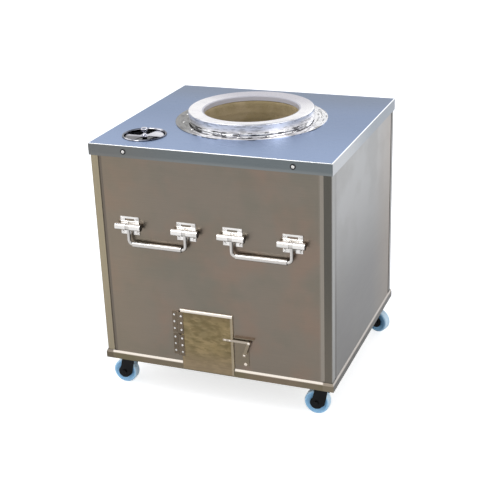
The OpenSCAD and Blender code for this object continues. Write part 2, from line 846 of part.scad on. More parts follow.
// Butterfly shutter: a hub and two wings.
module vent_shutter() {
    color(bright) at_vent() translate([0, 0, wing_z]) difference() {
        union() {
            cylinder(r = vent_hub_r + 2, h = wing_t);
            for (k = [0, 180])
                rotate([0, 0, vent_wing_turn + k]) sector(vent_hub_r, vent_wing_r, vent_wing_angle, wing_t);
        }
        translate([0, 0, -1]) cylinder(r = vent_pivot_r + run_gap, h = wing_t + 2);
    }
}

// Turned knob on the shutter's hub, hollow over the stud's head.
module vent_knob() {
    h = vent_knob_h;
    hollow_r = vent_head_r + side_gap;
    hollow_h = vent_head_h + 2 * side_gap;
    color(bright) at_vent() translate([0, 0, wing_z + wing_t]) rotate_extrude()
        polygon(concat([[0, hollow_h], [hollow_r, hollow_h], [hollow_r, 0], [hollow_r + 2.5, 0]],
            [[hollow_r + 2.5, 0.1 * h], [hollow_r, 0.22 * h], [4.4, 0.36 * h], [4.2, 0.5 * h]],
            arc([4.4, 0.76 * h], 0.24 * h, -70, 90), [[0, h]]));
}

// ---- ash door ----

// Folded pan: returns at the top and at both sides above the rail.
module ash_door() {
    depth = door_out - 0.5;
    rail_top = rail_h + 2 - door_up;
    color(olive) translate([door_x + door_w / 2, -door_face + depth, door_bottom]) difference() {
        door_block(door_w, door_h, depth, door_bend_r);
        translate([0, 1, -1])
            door_block(door_w - 2 * door_t, door_h - door_t + 1, depth - door_t + 1, door_bend_r - door_t);
        translate([-door_w, -depth + door_t, -1]) cube([2 * door_w, depth, rail_top + 1]);
        for (z = hinge_levels, k = [-1 : 1])
            translate([door_screw_x - door_x - door_w / 2, 0, z + k * leaf_pitch - door_bottom])
                peg(leaf_screw_r + hole_gap, depth + 1);
        for (x = strap_rivet_x)
            translate([door_w / 2 + latch_gap + x, 0, stud_z + hook_up - door_bottom])
                peg(strap_rivet_r + hole_gap, depth + 1);
    }
}

// A block behind a front face with rounded side edges and a rounded top edge; its back is at y = 0.
module door_block(w, h, depth, r) {
    intersection() {
        mirror([0, 1, 0]) linear_extrude(h) intersection() {
            arch(w, depth, r);
            translate([-w / 2, 0]) square([w, depth]);
        }
        translate([-w / 2, 0, 0]) rotate([90, 0, 90]) linear_extrude(w) {
            translate([-depth, 0]) square([depth, h - r]);
            translate([-depth + r, 0]) square([depth - r, h]);
            translate([-depth + r, h - r]) circle(r);
        }
    }
}

// Runs its children at the foot of each hinge, on the hinge axis.
module at_hinges() {
    for (z = hinge_levels)
        translate([hinge_x, hinge_y, z - hinge_h / 2]) children();
}

module hinge_leaves_fixed() {
    color(steel) at_hinges() difference() {
        union() {
            translate([-leaf_fixed_w, hinge_out - leaf_t, 0]) cube([leaf_fixed_w, leaf_t, hinge_h]);
            for (z = [0, knuckle_high])
                translate([0, 0, z]) cylinder(r = knuckle_r, h = knuckle_low);
        }
        translate([0, 0, knuckle_low]) cylinder(r = leaf_clear_r, h = knuckle_high - knuckle_low);
        translate([0, 0, -1]) cylinder(r = hinge_pin_r + run_gap, h = hinge_h + 2);
        for (k = [-1 : 1])
            translate([fixed_screw_x - hinge_x, hinge_out + 1, hinge_h / 2 + k * leaf_pitch])
                peg(leaf_screw_r + hole_gap, leaf_t + 2);
    }
}

module hinge_leaves_door() {
    leaf_y = hinge_out - door_out;
    color(steel) at_hinges() difference() {
        union() {
            translate([0, leaf_y - leaf_t, 0]) cube([leaf_door_w, leaf_t, hinge_h]);
            translate([0, 0, knuckle_low + side_gap])
                cylinder(r = knuckle_r, h = knuckle_high - knuckle_low - 2 * side_gap);
        }
        translate([0, 0, -1]) cylinder(r = leaf_clear_r, h = knuckle_low + 1 + side_gap);
        translate([0, 0, knuckle_high - side_gap]) cylinder(r = leaf_clear_r, h = knuckle_low + 2);
        translate([0, 0, -1]) cylinder(r = hinge_pin_r + run_gap, h = hinge_h + 2);
        for (k = [-1 : 1])
            translate([door_screw_x - hinge_x, leaf_y + 1, hinge_h / 2 + k * leaf_pitch])
                peg(leaf_screw_r + hole_gap, leaf_t + 2);
    }
}

module hinge_pins() {
    head = 1;
    color(bright) at_hinges() {
        translate([0, 0, -head]) cylinder(r = hinge_pin_r, h = hinge_h + 2 * head);
        for (z = [-head, hinge_h])
            translate([0, 0, z]) cylinder(r = hinge_pin_r + 1, h = head);
    }
}

module hinge_screws_fixed() {
    color(bright) for (z = hinge_levels, k = [-1 : 1])
        translate([fixed_screw_x, -front_face - leaf_t, z + k * leaf_pitch])
            domed_pin(leaf_head_r, 1.5, leaf_screw_r, 8);
}

module hinge_screws_door() {
    color(bright) for (z = hinge_levels, k = [-1 : 1])
        translate([door_screw_x, -door_face - leaf_t, z + k * leaf_pitch])
            domed_pin(leaf_head_r, 1.5, leaf_screw_r, leaf_t + door_t + 2);
}

// ---- latch ----

// Backing plate with a top lip.
module latch_plate() {
    lip_t = 2;
    lip_out = door_out + 1.5;
    high = latch_plate_high - latch_plate_low;
    color(steel) difference() {
        union() {
            translate([latch_plate_x, -front_face - latch_plate_t, latch_plate_low])
                cube([latch_plate_w, latch_plate_t, high]);
            translate([latch_plate_x, -front_face - lip_out, latch_plate_high - lip_t])
                cube([latch_lip_w, lip_out, lip_t]);
        }
        for (z = [stud_z, latch_low_rivet])
            translate([latch_x, -front_face + 1, z]) peg(latch_pin_r + hole_gap, latch_plate_t + 2);
    }
}

// The stud that the hook drops on, and the plate's plain rivet below it.
module latch_rivets() {
    shank = latch_plate_t + panel_t + 3;
    seat = front_face + latch_plate_t;
    neck = hook_face - seat + 0.5;
    color(bright) {
        translate([latch_x, -seat, stud_z]) {
            translate([0, -neck, 0]) domed_pin(stud_r, 1.5, stud_r, neck);
            translate([0, shank, 0]) peg(latch_pin_r, shank + 1);
            peg(stud_r + 2, 2);
        }
        translate([latch_x, -seat, latch_low_rivet]) domed_pin(5, 2.5, latch_pin_r, shank);
    }
}

// Runs its children flat, with the stud's axis at the origin and their back at the height out.
module in_latch_plane(out) {
    translate([latch_x, -out, stud_z]) rotate([90, 0, 0]) children();
}

// Strap on the door's face that reaches past its edge and carries the hook.
module latch_strap() {
    color(steel) in_latch_plane(door_face) difference() {
        linear_extrude(latch_t) {
            translate([strap_end, hook_up - strap_w / 2]) square([strap_l, strap_w]);
            translate([strap_end, hook_up]) circle(strap_w / 2);
            translate([hook_side, hook_up]) circle(hook_w / 2 + 1);
        }
        translate([hook_side, hook_up, -1]) cylinder(r = latch_pin_r + hole_gap, h = latch_t + 2);
        for (x = strap_rivet_x)
            translate([x, hook_up, -1]) cylinder(r = strap_rivet_r + hole_gap, h = latch_t + 2);
    }
}

// Hook: an eye at the pivot, a leaning bar, and a slot open to the right that drops on the stud.
module latch_hook() {
    pivot = [hook_side, hook_up];
    lean = atan2(hook_side, hook_up);
    slot_r = stud_r + side_gap;
    end_r = slot_r + 3.4;
    color(bright) in_latch_plane(strap_face + side_gap) difference() {
        linear_extrude(latch_t) difference() {
            union() {
                rotate(-lean) translate([-hook_w / 2, 0]) square([hook_w, norm(pivot)]);
                translate(pivot) circle(hook_w / 2 + 1);
                circle(end_r);
            }
            circle(slot_r);
            intersection() {
                rotate(-lean) translate([0, -2 * slot_r]) square([2 * end_r, 4 * slot_r]);
                translate(pivot) difference() {
                    circle(norm(pivot) + slot_r);
                    circle(norm(pivot) - slot_r);
                }
            }
        }
        translate([hook_side, hook_up, -1]) cylinder(r = latch_pin_r + run_gap, h = latch_t + 2);
    }
}

// The strap's two rivets in the door and the rivet that the hook swings on.
module strap_rivets() {
    tail = 2;
    color(bright) {
        for (x = strap_rivet_x)
            in_latch_plane(strap_face) translate([x, hook_up, 0]) rotate([-90, 0, 0])
                domed_pin(2.8, 1.5, strap_rivet_r, latch_t + door_t + tail);
        in_latch_plane(hook_face + side_gap) translate([hook_side, hook_up, 0]) rotate([-90, 0, 0])
            domed_pin(4.2, 2, latch_pin_r, 2 * latch_t + 2 * side_gap + 1);
        in_latch_plane(door_face - 1) translate([hook_side, hook_up, 0])
            cylinder(r = latch_pin_r + 1, h = 1);
    }
}

// ---- lifting handles ----

// Runs its children at each bracket: panel's face at y = 0, hinge line at z = 0.
module bracket_places() {
    both_ends() for (s = [-1, 1], k = [-1, 1])
        translate([s * handle_x + k * handle_span / 2, -front_face, hinge_line_z]) children();
}

module bracket_screw_places() {
    bracket_places() for (sx = [-1, 1], sz = [-1, 1])
        translate([sx * bracket_screw_x, 0, sz * bracket_screw_z]) children();
}

module bracket_screw_holes() {
    bracket_screw_places() translate([0, 10, 0]) peg(bracket_screw_r + hole_gap, 20);
}

// Screwed plate with a window above the barrel, and a barrel split for the bail's eye.
module handle_brackets() {
    barrel_part = (barrel_w - slot_w) / 2;
    web = (bracket_w - slot_w) / 2;
    window_w = 30;
    window_h = 6;
    color(bright) difference() {
        bracket_places() difference() {
            union() {
                translate([-bracket_w / 2, -bracket_t, -bracket_h / 2])
                    cube([bracket_w, bracket_t, bracket_h]);
                for (s = [-1, 1]) {
                    translate([s * (slot_w + barrel_part) / 2, -handle_out, 0])
                        rotate([0, 90, 0]) cylinder(r = barrel_r, h = barrel_part, center = true);
                    translate([s * (slot_w + web) / 2, -handle_out / 2, 0])
                        cube([web, handle_out, 1.3 * barrel_r], center = true);
                }
            }
            translate([0, -handle_out, 0]) rotate([0, 90, 0])
                cylinder(r = handle_pin_r + run_gap, h = barrel_w + 2, center = true);
            translate([-window_w / 2, -bracket_t - 1, bracket_h / 2 - 2 * window_h])
                cube([window_w, bracket_t + 2, window_h]);
        }
        bracket_screw_holes();
    }
}

module handle_pins() {
    color(bright) bracket_places() translate([0, -handle_out, 0]) rotate([0, 90, 0])
        cylinder(r = handle_pin_r, h = barrel_w + 1, center = true);
}

module handle_screws() {
    color(bright) bracket_screw_places() translate([0, -bracket_t, 0])
        domed_pin(bracket_head_r, 2.4, bracket_screw_r, 8);
}

// A handle's own frame: middle between its legs on the hinge line. ends: [side, 1 for the rear pair].
module at_handle(side, rear) {
    rotate([0, 0, rear ? 180 : 0])
        translate([(rear ? -side : side) * handle_x, -front_face - handle_out, hinge_line_z]) children();
}

// Bail: two eyes, two legs, two bends and the rod between them.
module bail(side, rear) {
    straight = handle_span / 2 - bail_bend_r;
    color(bright) at_handle(side, rear) difference() {
        union() {
            for (s = [-1, 1]) {
                translate([s * handle_span / 2, 0, 0]) rotate([0, 90, 0])
                    cylinder(r = eye_r, h = eye_w, center = true);
                translate([s * handle_span / 2, 0, -bail_drop + bail_bend_r])
                    cylinder(r = bail_rod_r, h = bail_drop - bail_bend_r);
            }
            translate([straight, 0, -bail_drop + bail_bend_r]) rotate([90, 0, 0]) rotate([0, 0, -90])
                rotate_extrude(angle = 90) translate([bail_bend_r, 0]) circle(bail_rod_r);
            translate([-straight, 0, -bail_drop + bail_bend_r]) rotate([90, 0, 0]) rotate([0, 0, 180])
                rotate_extrude(angle = 90) translate([bail_bend_r, 0]) circle(bail_rod_r);
            translate([0, 0, -bail_drop]) rotate([0, 90, 0])
                cylinder(r = bail_rod_r, h = 2 * straight, center = true);
        }
        rotate([0, 90, 0])
            cylinder(r = handle_pin_r + run_gap, h = handle_span + 2 * eye_w, center = true);
    }
}

// Tube over the bail's rod.
module grip(side, rear) {
    l = handle_span - 2 * bail_bend_r - 1;
    color(bright) at_handle(side, rear) translate([0, 0, -bail_drop]) rotate([0, 90, 0]) difference() {
        cylinder(r = grip_r, h = l, center = true);
        cylinder(r = bail_rod_r + run_gap, h = l + 2, center = true);
    }
}

// ---- castors ----

module at_castor(i) {
    translate([castors[i][0], castors[i][1], 0]) rotate([0, 0, castors[i][2]]) children();
}

module castor_bolt_places() {
    for (c = castors, sx = [-1, 1], sy = [-1, 1])
        translate([c[0] + sx * castor_bolt_x / 2, c[1] + sy * castor_bolt_y / 2, 0]) children();
}

module castor_bolt_holes() {
    castor_bolt_places() translate([0, 0, plate_z - 5]) cylinder(r = castor_bolt_r + hole_gap, h = 30);
}

// Top plates with the fixed race and the kingpin that carries the fork.
module castor_plates() {
    color(bright) difference() {
        for (c = castors)
            translate([c[0], c[1], 0]) {
                translate([-castor_plate_l / 2, -castor_plate_w / 2, plate_z])
                    cube([castor_plate_l, castor_plate_w, castor_plate_t]);
                translate([0, 0, plate_z - race_h]) cylinder(r = race_r, h = race_h + 1);
                translate([0, 0, crown_z - side_gap])
                    cylinder(r = kingpin_r, h = plate_z - crown_z + side_gap);
                translate([0, 0, crown_z - side_gap - kingpin_head_h])
                    cylinder(r = kingpin_r + 4, h = kingpin_head_h);
            }
        castor_bolt_holes();
    }
}

// Bolts: hexagon head on the base plate, nut under the castor's plate.
module castor_bolts() {
    nut_h = 5;
    head_h = 5;
    color(bright) castor_bolt_places() {
        translate([0, 0, plate_z - nut_h - 1])
            cylinder(r = castor_bolt_r, h = floor_z - plate_z + nut_h + 2);
        translate([0, 0, plate_z - nut_h]) cylinder(r = castor_bolt_r + 3, h = nut_h, $fn = 6);
        translate([0, 0, floor_z]) cylinder(r = castor_bolt_r + 3, h = head_h, $fn = 6);
    }
}

// Outline of a fork cheek seen from the side: wide under the head, round hub cover at the axle.
module cheek_outline() {
    axle = [-castor_trail, wheel_r];
    top = crown_z + crown_t;
    translate(axle) circle(hub_cover_r);
    polygon([axle + [-0.6 * hub_cover_r, 0.8 * hub_cover_r], [-castor_trail - 2, top], [cheek_front, top],
        axle + [1.3 * hub_cover_r, -0.2 * hub_cover_r],
        axle + [0.6 * hub_cover_r, -0.8 * hub_cover_r], axle]);
}

// Fork: round head on the swivel, crown over the wheel and two cheeks down to the axle.
module fork(i) {
    half = cheek_in + fork_t;
    color(dark) at_castor(i) difference() {
        union() {
            translate([0, 0, crown_z]) cylinder(r = fork_head_r, h = crown_t + fork_head_h);
            translate([-castor_trail - 4, -half, crown_z])
                cube([castor_trail + 4 + cheek_front, 2 * half, crown_t]);
            for (s = [-1, 1])
                translate([0, s * (cheek_in + fork_t / 2) + fork_t / 2, 0]) rotate([90, 0, 0])
                    linear_extrude(fork_t) cheek_outline();
        }
        translate([0, 0, crown_z - 1]) cylinder(r = kingpin_r + run_gap, h = crown_t + fork_head_h + 2);
        translate([-castor_trail, 0, wheel_r]) rotate([90, 0, 0])
            cylinder(r = axle_r + hole_gap, h = 2 * half + 2, center = true);
    }
}

// Axle bolt with a round head and a nut outside the cheeks.
module axle(i) {
    half = cheek_in + fork_t;
    color(dark) at_castor(i) translate([-castor_trail, 0, wheel_r]) rotate([90, 0, 0]) {
        cylinder(r = axle_r, h = 2 * half, center = true);
        translate([0, 0, half]) cylinder(r = axle_r + 3.5, h = axle_head_h, $fn = 6);
        translate([0, 0, -half - axle_head_h]) cylinder(r = axle_r + 3.5, h = axle_head_h);
    }
}

// Wheel: rounded tread, dished faces and a hub that reaches the cheeks.
module wheel(i) {
    hub_half = cheek_in - side_gap;
    hub_r = 11;
    half = wheel_w / 2;
    dish = 3;
    rim_r = 0.72 * wheel_r;
    edge = 4;
    bore = axle_r + run_gap;
    lower = concat([[bore, -hub_half], [hub_r, -hub_half], [hub_r, -half + dish]],
        [[rim_r, -half + dish], [rim_r + 3, -half]], arc([wheel_r - edge, -half + edge], edge, -90, 0));
    upper = [for (p = back(lower)) [p[0], -p[1]]];
    color(blue) at_castor(i) translate([-castor_trail, 0, wheel_r]) rotate([90, 0, 0])
        rotate_extrude() polygon(concat(lower, upper));
}

// ---- the oven ----

base_frame();
base_plate();
corner_posts();
top_frame();
front_panel();
left_panel();
right_panel();
rear_panel();
top_cover();
cover_screws();
cover_washers();
mouth_flange();
mouth_ring();
flange_rivets();
clay_pot();
insulation();
hearth_slab();
charcoal_grate();
ash_chute();
vent_cup();
vent_duct();
vent_pivot();
vent_shutter();
vent_knob();
ash_door();
hinge_leaves_fixed();
hinge_leaves_door();
hinge_pins();
hinge_screws_fixed();
hinge_screws_door();
latch_plate();
latch_rivets();
latch_strap();
latch_hook();
strap_rivets();
handle_brackets();
handle_pins();
handle_screws();
bail(-1, false);  // bail_front_left
bail(1, false);  // bail_front_right
bail(-1, true);  // bail_rear_left
bail(1, true);  // bail_rear_right
grip(-1, false);  // grip_front_left
grip(1, false);  // grip_front_right
grip(-1, true);  // grip_rear_left
grip(1, true);  // grip_rear_right
castor_plates();
castor_bolts();
fork(0);  // fork_front_left
fork(1);  // fork_front_right
fork(2);  // fork_rear_left
fork(3);  // fork_rear_right
axle(0);  // axle_front_left
axle(1);  // axle_front_right
axle(2);  // axle_rear_left
axle(3);  // axle_rear_right
wheel(0);  // wheel_front_left
wheel(1);  // wheel_front_right
wheel(2);  // wheel_rear_left
wheel(3);  // wheel_rear_right
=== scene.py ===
"""Clay tandoor oven in a stainless steel cabinet on castors: its finishes, fine pieces, light and camera."""

import json
import math

import bmesh
import bpy
from bpy.props import FloatProperty, FloatVectorProperty, IntProperty, PointerProperty
from mathutils import Matrix, Vector, noise


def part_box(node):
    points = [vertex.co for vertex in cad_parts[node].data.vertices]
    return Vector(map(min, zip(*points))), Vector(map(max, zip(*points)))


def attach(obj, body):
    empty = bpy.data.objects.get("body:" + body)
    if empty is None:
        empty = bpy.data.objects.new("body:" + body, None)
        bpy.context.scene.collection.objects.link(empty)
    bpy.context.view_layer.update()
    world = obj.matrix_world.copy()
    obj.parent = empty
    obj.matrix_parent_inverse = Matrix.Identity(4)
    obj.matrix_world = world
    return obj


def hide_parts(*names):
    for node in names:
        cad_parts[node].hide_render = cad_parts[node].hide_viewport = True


bl_info = {
    "name": "Clay Tandoor Oven",
    "version": (1, 0, 0),
    "blender": (4, 5, 0),
    "location": "3D View > Sidebar > Tandoor",
    "description": "Finishes and fine pieces of a clay tandoor oven in a steel cabinet",
    "category": "Object",
}

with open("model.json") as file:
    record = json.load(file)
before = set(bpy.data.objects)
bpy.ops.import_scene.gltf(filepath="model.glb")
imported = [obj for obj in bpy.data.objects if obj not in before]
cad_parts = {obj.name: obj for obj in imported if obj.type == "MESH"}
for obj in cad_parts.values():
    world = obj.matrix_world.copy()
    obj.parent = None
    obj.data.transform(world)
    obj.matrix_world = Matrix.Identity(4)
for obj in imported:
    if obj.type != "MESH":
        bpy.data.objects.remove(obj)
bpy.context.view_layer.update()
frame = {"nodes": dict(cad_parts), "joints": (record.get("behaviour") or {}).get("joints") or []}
MM = 0.001
CORNERS = ("front_left", "front_right", "rear_left", "rear_right")
WAYS = ("Right", "Left", "Rear", "Front", "Up", "Down")


# ---- small helpers ----


def linear(colour):
    """An sRGB hex colour, or a colour setting, as the linear RGBA that Blender's sockets take."""
    if not isinstance(colour, str):
        return tuple(colour)
    parts = [int(colour[i : i + 2], 16) / 255 for i in (1, 3, 5)]
    return tuple(c / 12.92 if c <= 0.04045 else ((c + 0.055) / 1.055) ** 2.4 for c in parts) + (1.0,)


def add(tree, kind, inputs=None, ramp=None, **settings):
    """Adds a node with its settings. A kind without "Node" in its name is a shader node.

    inputs maps a socket to a value, to the socket that feeds it, or to the node whose first output does.
    ramp lists a colour ramp's stops as (place, colour).
    """
    made = tree.nodes.new(kind if "Node" in kind else "ShaderNode" + kind)
    for key, value in settings.items():
        setattr(made, key, value)
    for key, value in (inputs or {}).items():
        if isinstance(value, bpy.types.Node):
            value = value.outputs[0]
        if isinstance(value, bpy.types.NodeSocket):
            tree.links.new(value, made.inputs[key])
        else:
            made.inputs[key].default_value = value
    if ramp:
        stops = made.color_ramp.elements
        while len(stops) < len(ramp):
            stops.new(0.5)
        for stop, (place, colour) in zip(stops, ramp):
            stop.position = place
            stop.color = colour
    return made


def span(start, end, low=0.0, high=1.0):
    """The inputs of a map range that goes from low to high while its value goes from start to end."""
    return {"From Min": start, "From Max": end, "To Min": low, "To Max": high}


def colour_property(name, description, colour):
    """A colour that a user may change, with its sRGB hex default."""
    return FloatVectorProperty(
        name=name, description=description, default=linear(colour), subtype="COLOR", size=4, min=0, max=1
    )


def length_property(name, description, default, most=1.0):
    """A length in metres that a user may change."""
    return FloatProperty(name=name, description=description, default=default, min=0, max=most, unit="LENGTH")


def share_property(name, description, default, least, most):
    """A share of another size that a user may change."""
    return FloatProperty(
        name=name, description=description, default=default, min=least, max=most, subtype="FACTOR"
    )


def settings():
    """The scene's own copy of the sizes and colours."""
    return bpy.context.scene.tandoor


def middle_of(node):
    """The middle of a CAD node's box, in metres."""
    lowest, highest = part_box(node)
    return (lowest + highest) / 2


def islands(node):
    """The lowest and highest corner of each separate solid in a CAD node, in metres."""
    copy = bmesh.new()
    copy.from_mesh(frame["nodes"][node].data)
    bmesh.ops.remove_doubles(copy, verts=copy.verts, dist=1e-6)
    left, boxes = set(copy.verts), []
    while left:
        group, edge = set(), [left.pop()]
        while edge:
            vert = edge.pop()
            group.add(vert)
            for link in vert.link_edges:
                other = link.other_vert(vert)
                if other in left:
                    left.discard(other)
                    edge.append(other)
        boxes.append([Vector([pick(v.co[i] for v in group) for i in range(3)]) for pick in (min, max)])
    copy.free()
    return sorted(boxes, key=lambda box: tuple(round(x, 5) for x in box[0]))


def put(name, data):
    """An object in the scene that shows a mesh, lamp or camera."""
    made = bpy.data.objects.new(name, data)
    bpy.context.scene.collection.objects.link(made)
    return made


def applied(thing):
    """The mesh of an object once its modifiers are applied."""
    bpy.context.view_layer.update()
    return bpy.data.meshes.new_from_object(thing.evaluated_get(bpy.context.evaluated_depsgraph_get()))


def piece(name, mesh, body, material, replaced=None):
    """Puts a finished mesh in the scene as a named piece that rides on a body and stands for a CAD node."""
    made = put(name, mesh)
    mesh.materials.clear()
    mesh.materials.append(material)
    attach(made, body)
    if replaced:
        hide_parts(replaced)
    return made


def finish_nodes(material, *names):
    """Gives CAD nodes a finish through their own material slots."""
    for name in names:
        for slot in frame["nodes"][name].material_slots:
            slot.material = material


def lathe(profile, segments, name):
    """A mesh turned about Z from a closed loop of (radius, height) points, in metres."""
    form = bmesh.new()
    turns = [2 * math.pi * k / segments for k in range(segments)]
    rings = [[form.verts.new((r * math.cos(a), r * math.sin(a), z)) for a in turns] for r, z in profile]
    for ring, following in zip(rings, rings[1:] + rings[:1]):
        for k in range(segments):
            n = (k + 1) % segments
            form.faces.new((ring[k], ring[n], following[n], following[k]))
    bmesh.ops.recalc_face_normals(form, faces=form.faces)
    mesh = bpy.data.meshes.new(name)
    form.to_mesh(mesh)
    form.free()
    mesh.polygons.foreach_set("use_smooth", [True] * len(mesh.polygons))
    return mesh


# ---- finishes ----


def new_finish(name):
    """An empty material with its node tree and texture coordinates."""
    material = bpy.data.materials.new(name)
    material.use_nodes = True
    tree = material.node_tree
    tree.nodes.clear()
    return material, tree, add(tree, "TexCoord")


def close_finish(material, inputs):
    """Ends a material with its shader, which takes the given inputs."""
    shader = add(material.node_tree, "BsdfPrincipled", inputs)
    add(material.node_tree, "OutputMaterial", {"Surface": shader})
    return material


def shift_tone(tree, tone, value, start, end, colour, share=1.0, way="SMOOTHSTEP"):
    """Turns a tone into another colour while a value goes from start to end. share is how far it gets."""
    amount = add(tree, "MapRange", {"Value": value, **span(start, end, 0.0, share)}, interpolation_type=way)
    return add(tree, "Mix", {0: amount, 6: tone, 7: linear(colour)}, data_type="RGBA").outputs[2]


def painted_light_group():
    """Node group: painted light, six tones blended by the way a surface faces, with a painted glint on bends
    between side and top.
    """
    if "Painted light by facing" in bpy.data.node_groups:
        return bpy.data.node_groups["Painted light by facing"]
    group = bpy.data.node_groups.new("Painted light by facing", "ShaderNodeTree")
    face = group.interface
    face.new_socket("Normal", in_out="INPUT", socket_type="NodeSocketVector")
    for way in WAYS + ("Glint",):
        face.new_socket(way, in_out="INPUT", socket_type="NodeSocketColor")
    face.new_socket("Glint share", in_out="INPUT", socket_type="NodeSocketFloat")
    face.new_socket("Colour", in_out="OUTPUT", socket_type="NodeSocketColor")
    given = add(group, "NodeGroupInput").outputs
    parts = add(group, "SeparateXYZ", {0: given["Normal"]}).outputs
    total, squares = None, {}
    for axis, ways in zip("XYZ", (WAYS[0:2], WAYS[2:4], WAYS[4:6])):
        for sign, way in zip((1.0, -1.0), ways):
            turned = add(group, "Math", {0: parts[axis], 1: sign}, operation="MULTIPLY")
            kept = add(group, "Math", {0: turned, 1: 0.0}, operation="MAXIMUM")
            squares[way] = add(group, "Math", {0: kept, 1: 2.0}, operation="POWER")
            share = add(group, "VectorMath", {0: given[way], "Scale": squares[way]}, operation="SCALE")
            if total:
                share = add(group, "VectorMath", {0: total, 1: share}, operation="ADD")
            total = share
    # The painted glint is strongest where a bend faces halfway up: up squared times its rest, scaled to reach 1
    level = add(group, "Math", {0: 1.0, 1: squares["Up"]}, operation="SUBTRACT")
    both = add(group, "Math", {0: squares["Up"], 1: level}, operation="MULTIPLY")
    bright = add(group, "Math", {0: both, 1: 4.0}, operation="MULTIPLY")
    share = add(group, "Math", {0: bright, 1: given["Glint share"]}, operation="MULTIPLY", use_clamp=True)
    mixed = add(group, "Mix", {0: share, 6: total, 7: given["Glint"]}, data_type="RGBA")
    add(group, "NodeGroupOutput", {0: mixed.outputs[2]})
    return group


def brushed_sheet(
    name, tones, grain="X", layers=(), roughness=0.36, glint=0.0, glint_colour="#fff4ea", line_share=0.05
):
    """Stainless sheet with a brushed finish: fine lines along one way, soft cloudy patches and a satin shine.

    tones: sRGB hex for faces that look right, left, rear, front, up and down; they are painted light and
    reflection by
    facing. layers change one of these: (way, "fade", axis, start, end, colour, share) fades along an axis, and
    the fades laid in this script are mostly painted reflections, highlights and shade; (way, "clouds", seed,
    colour, share) lays soft patches, and (way, "streaks", seed, colour, share) lays scuffs that run along X or
    Y.
    line_share is how far the brush lines change the tone. glint is the share of a painted highlight on bends,
    in glint_colour.
    """
    material, tree, place = new_finish(name)
    where = place.outputs["Object"]
    parts = add(tree, "SeparateXYZ", {0: where})
    ways = {way: linear(tone) for way, tone in zip(WAYS, tones)}
    for way, kind, *facts in layers:
        if kind == "fade":
            axis, start, end, colour, share = facts
            value = parts.outputs[axis]
        else:
            # Clouds are about 120 mm across; scuffs are about 28 by 11 mm
            seed, colour, share = facts
            stretch = (1.0, 1.0, 1.0) if kind == "clouds" else (4.5, 4.5, 11.0)
            shift = (3.1 * seed, 1.7 * seed, 0.4 * seed)
            moved = add(tree, "Mapping", {"Vector": where, "Location": shift, "Scale": stretch})
            value = add(tree, "TexNoise", {"Vector": moved, "Scale": 8.0, "Detail": 3.0})
            start, end = 0.44, 0.66
        ways[way] = shift_tone(tree, ways[way], value, start, end, colour, share)
    facing = {"Normal": place.outputs["Normal"], "Glint": linear(glint_colour), "Glint share": glint}
    group = add(tree, "Group", {**ways, **facing}, node_tree=painted_light_group())
    # Brush lines are about 0.1 mm apart on the real sheet; they are drawn 2 mm apart so that they show
    scale = [9.0 if axis == grain else 520.0 for axis in "XYZ"]
    lines = add(tree, "Mapping", {"Vector": where, "Scale": scale})
    brush = add(tree, "TexNoise", {"Vector": lines, "Scale": 1.0, "Detail": 4.0, "Roughness": 0.65})
    depth = add(tree, "MapRange", {"Value": brush, **span(0.25, 0.75, 1 - line_share, 1 + line_share)})
    tone = add(tree, "VectorMath", {0: group.outputs["Colour"], "Scale": depth}, operation="SCALE")
    shine = add(tree, "MapRange", {"Value": brush, **span(0.2, 0.8, roughness - 0.06, roughness + 0.06)})
    bump = add(tree, "Bump", {"Strength": 0.1, "Distance": 0.0003, "Height": brush})
    return close_finish(material, {"Base Color": tone, "Roughness": shine, "Normal": bump, "Metallic": 1.0})


